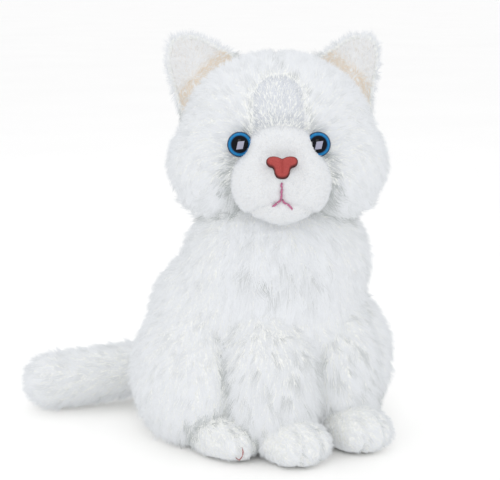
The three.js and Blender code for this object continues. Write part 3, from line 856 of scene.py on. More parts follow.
def stitch_between(start: Array, end: Array, up: Array, rise: float) -> tuple[Array, Array]:
    """Lay one stitch over the cloth, from hole to hole.

    Args:
        start: Where the thread comes up.
        end: Where it goes down.
        up: Direction away from the cloth.
        rise: How far its middle stands off the cloth.

    Returns:
        The stitch's path and the direction away from the cloth.
    """
    share = np.linspace(0.0, 1.0, 9)[:, None]
    arch = rise * (1.0 - (2.0 * share - 1.0) ** 4) - 0.5
    return start + (end - start) * share + up * arch, up


def on_skin(skin: Skin, spot: Array, towards: Array) -> tuple[Array, Array]:
    """Find where a line meets a skin.

    Args:
        skin: The skin.
        spot: A point outside it.
        towards: The line's direction.

    Returns:
        The point on the skin and the skin's normal there.
    """
    hit, normal, _, _ = skin.tree.ray_cast(Vector(spot), Vector(towards))
    return np.array(hit), np.array(normal)


# --------------------------------------------------------------------------------------------
# The body
# --------------------------------------------------------------------------------------------


def downwards(roots: Array, up: Array) -> Array:
    """Comb the pile straight down, and a little outwards."""
    lie = np.tile([0.0, 0.0, -1.0], (len(roots), 1))
    lie[:, :2] += 0.25 * unit(roots[:, :2])
    return lie


def forwards(roots: Array, up: Array) -> Array:
    """Comb the pile of a foot towards its toes and down."""
    return np.tile([0.0, -1.0, -0.45], (len(roots), 1))


def ball_gap(points: Array, ball: Ball) -> Array:
    """Estimate the distance from points to the surface of a ball, below 0 inside it."""
    scaled = (points - np.array(ball.centre)) / np.array(ball.radii)
    return (np.linalg.norm(scaled, axis=1) - 1.0) * min(ball.radii)


@dataclass
class Torso:
    """The chest, belly and rump with the haunches, sewn as one stuffed body."""

    chest: Ball = Ball((0, -20, 119), (66, 57, 56))
    belly: Ball = Ball((0, -4, 86), (69, 70, 58))
    rump: Ball = Ball((0, 14, 44), (73, 72, 56))
    neck: Ball = Ball((0, -20, 142), (44, 42, 24))
    flank: Ball = Ball((50, 2, 78), (27, 46, 46))
    haunch: Ball = Ball((61, -4, 44), (34, 50, 51))
    skin: Skin | None = None

    def build(self) -> None:
        """Make the torso's skin."""
        sides = [ball.on(side) for ball in (self.flank, self.haunch) for side in SIDES.values()]
        lobes = [self.chest, self.belly, self.rump, self.neck, *sides]
        self.skin = Skin("torso_skin", "body", lobes, inset=2.0, rounds=12, seam=self._seam).build()

    def _seam(self, points: Array) -> Array:
        """Return the distance to the seam down the back and to those round the haunches."""
        back = np.where(points[:, 1] > -20, np.abs(points[:, 0]), 99.0)
        folded = points.copy()
        folded[:, 0] = np.abs(folded[:, 0])
        trunk = np.minimum(ball_gap(folded, self.rump), ball_gap(folded, self.belly))
        thigh = np.hypot(ball_gap(folded, self.haunch), trunk)
        thigh = thigh + 12.0 * ramp(folded[:, 1], -30.0, -5.0)
        return np.minimum(back, thigh)

    def dress(self, cover: Sequence[Skin]) -> None:
        """Finish the skin and set the pile into it."""
        panels = ["seat_panel", "chest_panel", "back_panel_left", "back_panel_right", "body_stuffing"]
        panels += [f"haunch_{kind}_{side}" for kind in ("panel", "stuffing") for side in SIDES]
        self.skin.dress(PILE_BACKING, "pile_fabric", panels)
        quarters = {
            "front_left": lambda p: (p[:, 0] >= 0) & (p[:, 1] < 0),
            "front_right": lambda p: (p[:, 0] < 0) & (p[:, 1] < 0),
            "back_left": lambda p: (p[:, 0] >= 0) & (p[:, 1] >= 0),
            "back_right": lambda p: (p[:, 0] < 0) & (p[:, 1] >= 0),
        }
        for number, (quarter, rule) in enumerate(quarters.items()):

            def length(roots: Array, up: Array, rule: Callable[[Array], Array] = rule) -> Array:
                """Grow on one quarter of the body, and leave the underside bare."""
                return np.where(rule(roots), 1.0, 0.0) * ramp(roots[:, 2], 1.0, 9.0)

            Coat(
                f"torso_coat_{quarter}",
                self.skin,
                PLUSH,
                downwards,
                WHITE_YARNS,
                10 + number,
                length,
                cover,
                shade=self._painted_chin_shadow,
            ).build()
        under = self._painted_chin_shadow
        Coat(
            "chest_ruff", self.skin, RUFF, downwards, WHITE_YARNS, 14, self._ruff, cover, shade=under
        ).build()

    def _painted_chin_shadow(self, roots: Array, up: Array) -> Array:
        """Paint shade into the band of the chest below the head's ruff, where its shadow falls."""
        turn = math.radians(HeadFrame().yaw)
        aside = roots[:, 0] * math.cos(turn) + roots[:, 1] * math.sin(turn)
        band = np.exp(-(((roots[:, 2] - 119.0) / 11.0) ** 2))
        front = 1.0 - ramp(np.abs(aside - 12.0), 14.0, 32.0)
        return 0.4 * band * front * ramp(-roots[:, 1], 20.0, 36.0)

    def _ruff(self, roots: Array, up: Array) -> Array:
        """Keep the long hair to the upper chest."""
        high = ramp(roots[:, 2], 84.0, 104.0)
        turn = math.radians(HeadFrame().yaw)
        aside = roots[:, 0] * math.cos(turn) + roots[:, 1] * math.sin(turn)
        front = 1.0 - ramp(np.abs(aside - 12.0), 26.0, 44.0)
        return high * front * ramp(-roots[:, 1], 20.0, 36.0)


def toe_creases(points: Array, foot: Ball, reach: float) -> Array:
    """Return the distance to the two creases that part a foot's toes.

    Args:
        points: Rows of points in the foot's frame.
        foot: The foot's front lobe.
        reach: How far behind the lobe's middle the creases run.

    Returns:
        One distance for each point, large away from the toes.
    """
    across = np.abs(np.abs(points[:, 0] - foot.centre[0]) - 0.33 * foot.radii[0])
    behind = np.maximum(points[:, 1] - (foot.centre[1] - reach), 0.0)
    return across + behind


@dataclass
class HindFoot:
    """A hind foot, showing below its haunch."""

    side_name: str
    heel: Ball = Ball((60, -34, 14), (20, 30, 18), 3.0)
    toes: Ball = Ball((56, -54, 12), (17, 16, 14), 0.0)
    tuck: Triple = (0.0, 0.0, 0.0)
    skin: Skin | None = None

    def build(self) -> None:
        """Make the foot's skin."""
        lobes = [ball.on(SIDES[self.side_name]) for ball in (self.heel, self.toes)]
        place = Matrix.Translation(self.tuck)
        name = f"hind_foot_skin_{self.side_name}"
        self.skin = Skin(
            name,
            "body",
            lobes,
            place,
            inset=1.5,
            voxel=3.5,
            swell=3.0,
            seam=self._toe_seams,
            seam_depth=1.8,
            seam_width=2.0,
        ).build()

    def _toe_seams(self, points: Array) -> Array:
        """Return the distance to the creases between the toes."""
        return toe_creases(points, self.toes.on(SIDES[self.side_name]), 0.0)

    def dress(self, cover: Sequence[Skin]) -> None:
        """Finish the skin and set the pile into it."""
        name, seed = self.side_name, 22 + int(SIDES[self.side_name] > 0)
        solids = [f"hind_foot_{kind}_{name}" for kind in ("sole", "top", "stuffing")]
        self.skin.dress(PILE_BACKING, "pile_fabric", solids)
        low = lambda roots, up: ramp(roots[:, 2], 1.0, 7.0)
        Coat(
            f"hind_foot_coat_{name}", self.skin, PAW_PLUSH, forwards, WHITE_YARNS, seed, low, cover
        ).build()


@dataclass
class Foreleg:
    """A foreleg and its paw, which swing together at the shoulder."""

    side_name: str
    shoulder: Triple = (28, -44, 96)
    knee: Triple = (28, -51, 60)
    hem: Triple = (28, -54, 36)
    shoulder_radius: float = 25.0
    knee_radius: float = 30.0
    hem_radius: float = 28.0
    paw: Ball = Ball((25, -77, 13), (22.5, 28, 18))
    knuckles: Ball = Ball((25, -88, 13), (22, 16, 15))
    leg_skin: Skin | None = None
    paw_skin: Skin | None = None

    def build(self) -> None:
        """Make the skins of the leg and the paw."""
        side, name = SIDES[self.side_name], self.side_name
        shoulder, knee, hem = (mirrored(spot, side) for spot in (self.shoulder, self.knee, self.hem))
        leg = rod(shoulder, knee, self.shoulder_radius, self.knee_radius, 6)
        leg += rod(knee, hem, self.knee_radius, self.hem_radius, 4)
        self.leg_skin = Skin(f"foreleg_skin_{name}", f"foreleg_{name}", leg, inset=1.5).build()
        self.paw_skin = Skin(
            f"paw_skin_{name}",
            f"foreleg_{name}",
            [self.paw.on(side), self.knuckles.on(side)],
            inset=1.5,
            voxel=3.5,
            swell=3.0,
            seam=lambda points: toe_creases(points, self.knuckles.on(side), 0.0),
            seam_depth=2.0,
            seam_width=2.0,
        ).build()

    def dress(self, cover: Sequence[Skin]) -> None:
        """Finish the skins and set the pile into them."""
        name, seed = self.side_name, 30 + int(SIDES[self.side_name] > 0)
        leg = [f"foreleg_front_panel_{name}", f"foreleg_back_panel_{name}", f"foreleg_stuffing_{name}"]
        paw = [f"paw_sole_{name}", f"paw_top_{name}", f"paw_stuffing_{name}"]
        self.leg_skin.dress(PILE_BACKING, "pile_fabric", leg)
        self.paw_skin.dress(PILE_BACKING, "pile_fabric", paw)
        low = lambda roots, up: ramp(roots[:, 2], 1.0, 7.0)
        Coat(
            f"foreleg_coat_{name}",
            self.leg_skin,
            LEG_PLUSH,
            downwards,
            WHITE_YARNS,
            seed,
            self._hem,
            cover,
            shade=self._front,
        ).build()
        Coat(
            f"paw_coat_{name}", self.paw_skin, PAW_PLUSH, forwards, WHITE_YARNS, seed + 2, low, cover
        ).build()

    def _front(self, roots: Array, up: Array) -> Array:
        """Paint shade on the leg: a little all over, and more down its front."""
        return 0.18 + 0.16 * ramp(-up[:, 1], 0.3, 0.9)

    def _hem(self, roots: Array, up: Array) -> Array:
        """Let the hair grow longer towards the hem, over the paw."""
        return (0.95 + 0.5 * ramp(-roots[:, 2], -80.0, -35.0)) * ramp(roots[:, 2], 1.0, 7.0)


@dataclass
class ToeStitch:
    """One short stitch between the toes of a hind foot."""

    foot: HindFoot
    share: float = 0.33

    def build(self) -> None:
        """Sew the stitch."""
        side = SIDES[self.foot.side_name]
        toes = self.foot.toes.on(side)
        x = toes.centre[0] + side * self.share * toes.radii[0]
        low = np.array([x, -200.0, 5.0]) + np.array(self.foot.tuck)
        high = np.array([x + 2.0, -200.0, 13.0]) + np.array(self.foot.tuck)
        start, up = on_skin(self.foot.skin, low, np.array([0.0, 1.0, 0.0]))
        end, _ = on_skin(self.foot.skin, high, np.array([0.0, 1.0, 0.0]))
        path = stitch_between(start, end, up, 4.2)
        sewn = Thread(0.45).sew(f"toe_stitch_{self.foot.side_name}", [path], TOE_THREAD)
        settle(sewn, "body")


@dataclass
class Mouth:
    """The stitched mouth: a line down from the nose that parts in two."""

    head: Head
    runs: tuple[tuple[tuple[float, float], ...], ...] = (
        ((0.0, -26.5), (0.2, -30.0), (0.0, -33.2), (-0.2, -36.8)),
        ((-0.4, -37.2), (-2.9, -39.4), (-5.8, -41.8)),
        ((0.2, -37.2), (3.4, -40.0), (6.8, -43.6)),
    )
    gap: float = 0.35
    rise: float = 1.7

    def build(self) -> None:
        """Sew the mouth on the muzzle."""
        muzzle = self.head.muzzle
        inward = turned(np.array([[0.0, 1.0, 0.0]]), muzzle.place)[0]
        stitches = []
        for run in self.runs:
            for (x0, z0), (x1, z1) in zip(run, run[1:]):
                step = np.array([x1 - x0, z1 - z0])
                step = step / np.linalg.norm(step) * self.gap
                near = [x0 + step[0], -200.0, z0 + step[1]]
                far = [x1 - step[0], -200.0, z1 - step[1]]
                flat = np.array([near, far])
                spots = moved(flat, muzzle.place)
                start, up = on_skin(muzzle, spots[0], inward)
                end, _ = on_skin(muzzle, spots[1], inward)
                stitches.append(stitch_between(start, end, up, self.rise))
        sewn = Thread(0.75).sew("mouth_thread", stitches, MOUTH_THREAD)
        settle(sewn, "head", ["mouth_stitch"])


@dataclass
class Tail:
    """The thick tail, laid out to one side."""

    root: Triple = (-14, 74, 29)
    tip: Triple = (-111, 106, 21)
    root_radius: float = 25.0
    radius: float = 20.5
    taper: float = 0.32
    skin: Skin | None = None

    def build(self) -> None:
        """Make the tail's skin."""
        root, tip = np.array(self.root), np.array(self.tip)
        knee = tuple(root + (tip - root) * self.taper)
        balls = rod(self.root, knee, self.root_radius, self.radius, 6)
        balls += rod(knee, self.tip, self.radius, self.radius, 8)
        self.skin = Skin("tail_skin", "tail", balls, inset=1.5).build()

    def dress(self, cover: Sequence[Skin]) -> None:
        """Finish the skin and set the pile into it."""
        solids = ["tail_upper_panel", "tail_lower_panel", "tail_stuffing"]
        self.skin.dress(PILE_BACKING, "pile_fabric", solids)
        Coat("tail_coat", self.skin, PLUSH, self._comb, WHITE_YARNS, 40, None, cover).build()

    def _comb(self, roots: Array, up: Array) -> Array:
        """Comb towards the tail's end."""
        return np.tile(unit(np.array(self.tip) - np.array(self.root)), (len(roots), 1))


# --------------------------------------------------------------------------------------------
# The head
# --------------------------------------------------------------------------------------------


@dataclass
class HeadFrame:
    """The head's own frame: x across the face, -y out of it, z up it."""

    centre: Triple = (0, -20, 200)
    yaw: float = -32.0
    pitch: float = 8.0

    def matrix(self) -> Matrix:
        """Place the head's frame in the cat's."""
        turn = Matrix.Rotation(math.radians(self.yaw), 4, "Z")
        nod = Matrix.Rotation(math.radians(-self.pitch), 4, "X")
        return Matrix.Translation(self.centre) @ turn @ nod


@dataclass
class Head:
    """The skull and cheeks with the forehead gusset, and the muzzle sewn on."""

    place: Matrix
    skull: Ball = Ball((0, 4, 5), (66, 58, 57))
    cheek: Ball = Ball((34, -6, -14), (41, 42, 38))
    lobe: Ball = Ball((14.5, -45, -27), (18.5, 26, 23))
    bridge: Ball = Ball((0, -45, -6), (25, 21, 17))
    snout: Ball = Ball((0, -52, -22), (14, 21, 15))
    chin: Ball = Ball((0, -42, -43), (18, 22, 12))
    muzzle_shift: float = 1.5
    arch_half: float = 16.0
    arch_spring: float = 25.0
    skin: Skin | None = None
    muzzle: Skin | None = None

    def build(self) -> None:
        """Make the skins of the skull and the muzzle."""
        cheeks = [self.cheek, self.cheek.on(-1.0)]
        self.skin = Skin(
            "head_skin", "head", [self.skull, *cheeks], self.place, 3.8, seam=self._seam, floor=None
        ).build()
        lobes = [self.lobe, self.lobe.on(-1.0), self.bridge, self.snout, self.chin]
        place = self.place @ Matrix.Translation((self.muzzle_shift, 0, 0))
        self.muzzle = Skin(
            "muzzle_skin", "head", lobes, place, 1.5, 3.0, 5, 2.5, self._lip, 1.4, 1.8, None
        ).build()

    def _lip(self, points: Array) -> Array:
        """Return the distance to the seam below the nose and to the crease over the chin."""
        middle = np.where(points[:, 2] < -24.0, np.abs(points[:, 0]), 99.0)
        middle = np.where(points[:, 2] > -38.0, middle, 99.0)
        mouth = np.abs(points[:, 2] + 38.0 + 0.42 * np.abs(points[:, 0]))
        return np.minimum(middle, np.where(points[:, 1] < -40.0, mouth, 99.0))

    def _arch(self, points: Array) -> Array:
        """Return the signed distance to the forehead gusset's edge, below 0 inside it."""
        above = points[:, 2] - self.arch_spring
        round_top = np.hypot(points[:, 0], np.maximum(above, 0.0)) - self.arch_half
        return np.where(points[:, 1] < self.skull.centre[1], round_top, 99.0)

    def _seam(self, points: Array) -> Array:
        """Return the distance to the gusset's edge and to the seam over the crown."""
        arch = np.abs(self._arch(points))
        crown = np.where(self._arch(points) > 0, np.abs(points[:, 0]), 99.0)
        crown = np.where(points[:, 2] > 0, crown, 99.0)
        return np.minimum(arch, crown)

    def local(self, roots: Array) -> Array:
        """Return points in the head's own frame."""
        return moved(roots, self.place.inverted())

    def _comb(self, roots: Array, up: Array) -> Array:
        """Comb outwards from the face, and down at the sides and back."""
        p = self.local(roots)
        lie = np.stack([p[:, 0], np.full(len(p), 22.0), p[:, 2] + 14.0], axis=1)
        lie = unit(lie)
        fall = ramp(np.abs(p[:, 0]), 30.0, 60.0)[:, None]
        lie = lie * (1 - 0.7 * fall) + fall * np.array([0.0, 0.2, -1.0])
        back = ramp(p[:, 1], 0.0, 40.0)[:, None]
        lie = lie * (1 - back) + back * np.array([0.0, 0.2, -1.0])
        return turned(lie, self.place)

    def dress(self, cover: Sequence[Skin]) -> None:
        """Finish the skins and set the pile into them."""
        solids = ["throat_panel", "head_side_panel_left", "head_side_panel_right"]
        solids += ["head_stuffing", "forehead_gusset"]
        self.skin.dress(PILE_BACKING, "pile_fabric", solids)
        self.muzzle.dress(SHORN_PILE, "short_pile", ["muzzle_panel", "chin_panel", "muzzle_stuffing"])
        coats = {"left": lambda p: p[:, 0] >= 0, "right": lambda p: p[:, 0] < 0}
        for number, (side, rule) in enumerate(coats.items()):

            def length(roots: Array, up: Array, rule: Callable[[Array], Array] = rule) -> Array:
                """Grow on one half, outside the forehead gusset."""
                p = self.local(roots)
                return np.where(rule(p), 1.0, 0.0) * ramp(self._arch(p), -1.0, 4.0)

            Coat(
                f"head_coat_{side}",
                self.skin,
                HEAD_PLUSH,
                self._comb,
                WHITE_YARNS,
                50 + number,
                length,
                cover,
                floor=False,
            ).build()
        Coat(
            "forehead_coat", self.skin, SHORT_PLUSH, self._comb, GREY_YARNS, 54, self._gusset, cover, False
        ).build("short_pile")
        Coat("head_ruff", self.skin, RUFF, self._ruff_comb, WHITE_YARNS, 55, self._ruff, cover, False).build()
        skull, beside = [self.skin], self._beside_mouth
        Coat(
            "muzzle_coat", self.muzzle, VELVET, self._comb, VELVET_YARNS, 56, beside, skull, False
        ).build("short_pile")

    def _beside_mouth(self, roots: Array, up: Array) -> Array:
        """Part the short pile along the mouth's stitches."""
        p = self.local(roots) - np.array([self.muzzle_shift, 0.0, 0.0])
        return 0.35 + 0.65 * ramp(self._lip(p), 0.5, 2.2)

    def _gusset(self, roots: Array, up: Array) -> Array:
        """Grow the short pile inside the gusset only."""
        return 1.0 - ramp(self._arch(self.local(roots)), -1.5, 0.5)

    def _ruff(self, roots: Array, up: Array) -> Array:
        """Keep the long hair to the underside of the cheeks and the chin."""
        p = self.local(roots)
        return ramp(-p[:, 2], 24.0, 40.0) * ramp(-p[:, 1], -25.0, 0.0)

    def _ruff_comb(self, roots: Array, up: Array) -> Array:
        """Comb the ruff down and outwards."""
        p = self.local(roots)
        lie = np.stack([p[:, 0] * 0.012, np.full(len(p), -0.1), np.full(len(p), -1.0)], axis=1)
        return turned(lie, self.place)


def smooth_outline(corners: Sequence[tuple[float, float]], rounding: float, steps: int = 12) -> Array:
    """Round the corners of an outline.

    Args:
        corners: The outline's corners, in order.
        rounding: Distance from a corner at which its curve starts.
        steps: Points on each curve.

    Returns:
        Rows of points round the outline.
    """
    rows, count = [], len(corners)
    spots = [np.array(corner, dtype=float) for corner in corners]
    for index, spot in enumerate(spots):
        before = spot + unit(spots[index - 1] - spot) * rounding
        after = spot + unit(spots[(index + 1) % count] - spot) * rounding
        for t in np.linspace(0.0, 1.0, steps):
            rows.append((1 - t) ** 2 * before + 2 * t * (1 - t) * spot + t * t * after)
        following = spots[(index + 1) % count]
        far = following + unit(spot - following) * rounding
        for t in np.linspace(0.0, 1.0, steps)[1:-1]:
            rows.append(after * (1 - t) + far * t)
    return np.array(rows)


def domed_pad(
    name: str, outline: Array, middle: Array, front: Field, back: Field, place: Matrix, rings: int = 14
) -> bpy.types.Object:
    """Make a closed pad over an outline, with its own front and back surfaces.

    Args:
        name: The piece's name.
        outline: Rows of x and z round the pad.
        middle: The x and z that the rings close on.
        front: Depth of the front, from rows of x and z and the share of the way to the rim.
        back: Depth of the back, in the same way.
        place: Where the pad's own frame stands.
        rings: Rings from the middle to the rim.

    Returns:
        The pad's object.
    """
    count = len(outline)
    shares = np.sin(np.linspace(0.0, np.pi / 2, rings + 1))[1:]
    rows = []
    for depth in (front, back):
        for share in shares:
            flat = middle + (outline - middle) * share
            y = depth(flat, np.full(count, share))
            rows.append(np.stack([flat[:, 0], y, flat[:, 1]], axis=1))
    centres = []
    for depth in (front, back):
        y = depth(middle[None], np.zeros(1))
        centres.append([middle[0], y[0], middle[1]])
    points = np.concatenate([*rows, np.array(centres)])
    faces: list[tuple[int, ...]] = []
    for layer in range(2):
        base = layer * rings * count
        centre = 2 * rings * count + layer
        for k in range(count):
            n = (k + 1) % count
            fan = (centre, base + k, base + n)
            faces.append(fan if layer == 0 else fan[::-1])
            for ring in range(rings - 1):
                low, high = base + ring * count, base + (ring + 1) * count
                quad = (low + k, high + k, high + n, low + n)
                faces.append(quad if layer == 0 else quad[::-1])
    rim_front, rim_back = (rings - 1) * count, (2 * rings - 1) * count
    for k in range(count):
        n = (k + 1) % count
        faces.append((rim_front + k, rim_back + k, rim_back + n, rim_front + n))
    obj = mesh_object(name, moved(points, place), faces)
    bm = bmesh.new()
    bm.from_mesh(obj.data)
    bmesh.ops.recalc_face_normals(bm, faces=bm.faces)
    bm.to_mesh(obj.data)
    bm.free()
    return obj


@dataclass
class Ear:
    """One ear: a furry back, and a velour lining in its hollow."""

    side_name: str
    place: Matrix
    lean: float = 0.0
    corners: tuple[tuple[float, float], ...] = ((20, 52), (50, 71), (64, 71), (68, 58), (60, 8))
    pivot: tuple[float, float] = (45, 36)
    depth: float = 8.0
    rounding: float = 7.0
    hollow: float = 7.0
    thickness: float = 4.0
    rim: float = 0.84

    def _outline(self) -> Array:
        """Return the ear's outline seen from the front."""
        side, lean = SIDES[self.side_name], math.radians(self.lean)
        middle = np.array(self.pivot)
        turn = np.array([[math.cos(lean), math.sin(lean)], [-math.sin(lean), math.cos(lean)]])
        corners = (np.array(self.corners) - middle) @ turn.T + middle
        return smooth_outline([(side * x, z) for x, z in corners], self.rounding)

    def build(self, cover: Sequence[Skin]) -> None:
        """Make the ear's back, its lining and their pile."""
        name, body = self.side_name, f"ear_{self.side_name}"
        outline = self._outline()
        middle = outline.mean(axis=0)
        cup = lambda flat, share: self.depth + self.hollow * (1 - share**2)
        shell = domed_pad(
            f"ear_shell_{name}",
            outline,
            middle,
            lambda flat, share: cup(flat, share) - 0.5 * self.thickness * np.sqrt(1.0 - 0.96 * share**2),
            lambda flat, share: cup(flat, share) + self.thickness * np.sqrt(1.0 - 0.96 * share**2),
            self.place,
        )
        shell.data.materials.append(PILE_BACKING.material())
        settle(shell, body, [f"ear_back_{name}"])
        inner = middle + (outline - middle) * self.rim
        scale = self.rim
        lining = domed_pad(
            f"ear_inner_{name}",
            inner,
            middle,
            lambda flat, share: cup(flat, share * scale)
            - 0.5 * self.thickness
            - 0.7 * np.sqrt(1 - share**2),
            lambda flat, share: cup(flat, share * scale) - 0.4 * self.thickness,
            self.place,
        )
        lining.data.materials.append(EAR_VELOUR.material())
        settle(lining, body, [f"ear_lining_{name}"])
        skin = Skin(f"ear_{name}", body, [], piece=shell)
        skin.index()
        velour = Skin(f"ear_velour_{name}", body, [], piece=lining)
        velour.index()
        seed = 60 + int(SIDES[name] > 0)
        under = [*cover, velour]
        Coat(
            f"ear_coat_{name}",
            skin,
            EAR_PLUSH,
            self._comb,
            WHITE_YARNS,
            seed,
            self._length,
            under,
            floor=False,
            beside=cover,
        ).build()
        pile = Pile(4.5, 0.4, 2.0, 34.0, tuft=2.6)
        Coat(
            f"ear_down_{name}",
            velour,
            pile,
            self._comb,
            BEIGE_YARNS,
            seed + 2,
            self._front,
            cover,
            floor=False,
            tint=self._tint,
        ).build("ear_velour")

    def _comb(self, roots: Array, up: Array) -> Array:
        """Comb outwards from the ear's middle, and up."""
        p = moved(roots, self.place.inverted())
        middle = self._outline().mean(axis=0)
        lie = np.stack([p[:, 0] - middle[0], np.zeros(len(p)), p[:, 2] - middle[1] + 8.0], axis=1)
        return turned(unit(lie), self.place)

    def _length(self, roots: Array, up: Array) -> Array:
        """Grow full on the back and the rim, and shorter on the front of the rim."""
        facing = turned(up, self.place.inverted())[:, 1]
        return 0.55 + 0.45 * ramp(facing, -0.9, -0.2)

    def _tint(self, roots: Array, up: Array) -> Array:
        """Turn the down beige in the depth of the hollow, next to the head."""
        p = moved(roots, self.place.inverted())
        across = SIDES[self.side_name] * p[:, 0]
        from_edge = 0.68 * (across - 38.0) + 0.73 * (p[:, 2] - 53.0)
        return 2.1 * (1.0 - ramp(from_edge, 1.0, 10.0))

    def _front(self, roots: Array, up: Array) -> Array:
        """Grow on the front of the lining only."""
        facing = turned(up, self.place.inverted())[:, 1]
        return np.where(facing < -0.2, 1.0, 0.0)


@dataclass
class Eye:
    """A moulded dome eye with a metallic iris under its clear surface."""

    side_name: str
    place: Matrix
    seat: Triple = (24.5, -50, -3)
    diameter: float = 16.0
    dome: float = 6.0
    pupil: float = 0.69
    ring: tuple[tuple[float, Triple], ...] = (
        (0.80, (0.01, 0.21, 0.48)),
        (0.90, (0.01, 0.13, 0.32)),
        (0.96, (0.003, 0.01, 0.03)),
    )

    def build(self) -> None:
        """Make the dome and its finish."""
        name = self.side_name
        x, y, z = mirrored(self.seat, SIDES[name])
        radius, rings, count = self.diameter / 2, 24, 64
        angles = np.linspace(0, 2 * np.pi, count, endpoint=False)
        outline = np.stack([x + radius * np.cos(angles), z + radius * np.sin(angles)], axis=1)
        eye = domed_pad(
            f"eye_dome_{name}",
            outline,
            np.array([x, z]),
            lambda flat, share: y - self.dome * np.sqrt(np.maximum(1 - share**2, 0.0)),
            lambda flat, share: np.full(len(flat), y + 0.2),
            self.place,
            rings,
        )
        p = moved(points_of(eye), self.place.inverted())
        away = np.hypot(p[:, 0] - x, p[:, 2] - z) / radius
        spot = np.stack([away, (p[:, 0] - x) / radius, (p[:, 2] - z) / radius], axis=1)
        mark = eye.data.attributes.new("spot", "FLOAT_VECTOR", "POINT")
        mark.data.foreach_set("vector", spot.astype(np.float32).ravel())
        eye.data.materials.append(self._material())
        settle(eye, "head", [f"eye_lens_{name}"])

    def _material(self) -> bpy.types.Material:
        """Make the eye's finish: black pupil, blue metallic ring and dark rim, with a painted reflection of a
        window in the pupil.
        """
        found = bpy.data.materials.get("dome_eye")
        if found:
            return found
        made = bpy.data.materials.new("dome_eye")
        made.use_nodes = True
        nodes, links = made.node_tree.nodes, made.node_tree.links
        shader = nodes["Principled BSDF"]
        mark = nodes.new("ShaderNodeAttribute")
        mark.attribute_name = "spot"
        parts = nodes.new("ShaderNodeSeparateXYZ")
        links.new(mark.outputs["Vector"], parts.inputs["Vector"])
        ramp_node = nodes.new("ShaderNodeValToRGB")
        stops = ramp_node.color_ramp
        stops.elements[0].position = self.pupil - 0.04
        stops.elements[0].color = (0.002, 0.003, 0.006, 1)
        stops.elements[1].position = self.pupil + 0.02
        stops.elements[1].color = (0.01, 0.10, 0.26, 1)
        for position, colour in self.ring:
            stop = stops.elements.new(position)
            stop.color = (*colour, 1.0)
        links.new(parts.outputs["X"], ramp_node.inputs["Fac"])
        place = nodes.new("ShaderNodeTexCoord")
        noise = nodes.new("ShaderNodeTexNoise")
        noise.inputs["Scale"].default_value = 900.0
        links.new(place.outputs["Object"], noise.inputs["Vector"])
        mix = nodes.new("ShaderNodeMix")
        mix.data_type = "RGBA"
        mix.blend_type = "OVERLAY"
        mix.inputs["Factor"].default_value = 0.35
        links.new(ramp_node.outputs["Color"], mix.inputs["A"])
        links.new(noise.outputs["Fac"], mix.inputs["B"])
        # Painted reflection: a pale pane of window light mixed into the pupil's base colour.
        painted_reflection = nodes.new("ShaderNodeMix")
        painted_reflection.data_type = "RGBA"
        painted_reflection.inputs["B"].default_value = (0.36, 0.36, 0.46, 1.0)
        links.new(self._painted_window_reflection(nodes, links, parts), painted_reflection.inputs["Factor"])
        links.new(mix.outputs["Result"], painted_reflection.inputs["A"])
        links.new(painted_reflection.outputs["Result"], shader.inputs["Base Color"])
        shader.inputs["Specular IOR Level"].default_value = 0.0
        shader.inputs["Roughness"].default_value = 0.28
        shader.inputs["Coat Weight"].default_value = 0.6
        shader.inputs["Coat IOR"].default_value = 1.3
        shader.inputs["Coat Roughness"].default_value = 0.02
        return made

    def _painted_window_reflection(
        self, nodes: bpy.types.Nodes, links: bpy.types.NodeLinks, parts: bpy.types.Node
    ) -> bpy.types.NodeSocket:
        """Mark out the pale slanting pane in the pupil: a painted reflection of a window.

        Args:
            nodes: The material's nodes.
            links: The material's links.
            parts: The node that gives the place across and up the eye.

        Returns:
            A socket that is 1 inside the pane and 0 outside.
        """

        def sum_of(
            operation: str, first: bpy.types.NodeSocket, second: float | bpy.types.NodeSocket
        ) -> bpy.types.NodeSocket:
            """Add one arithmetic node and return its result."""
            node = nodes.new("ShaderNodeMath")
            node.operation = operation
            links.new(first, node.inputs[0])
            if isinstance(second, float):
                node.inputs[1].default_value = second
            else:
                links.new(second, node.inputs[1])
            return node.outputs[0]

        across, rise = parts.outputs["Y"], parts.outputs["Z"]
        slanted = sum_of("ADD", across, sum_of("MULTIPLY", rise, -0.22))
        tilted = sum_of("ADD", rise, sum_of("MULTIPLY", across, -0.12))
        wide = sum_of("ABSOLUTE", sum_of("SUBTRACT", slanted, 0.06), 0.0)
        high = sum_of("ABSOLUTE", sum_of("SUBTRACT", tilted, -0.08), 0.0)
        narrow = sum_of("LESS_THAN", wide, 0.25)
        low = sum_of("LESS_THAN", high, 0.30)
        return sum_of("MULTIPLY", narrow, low)


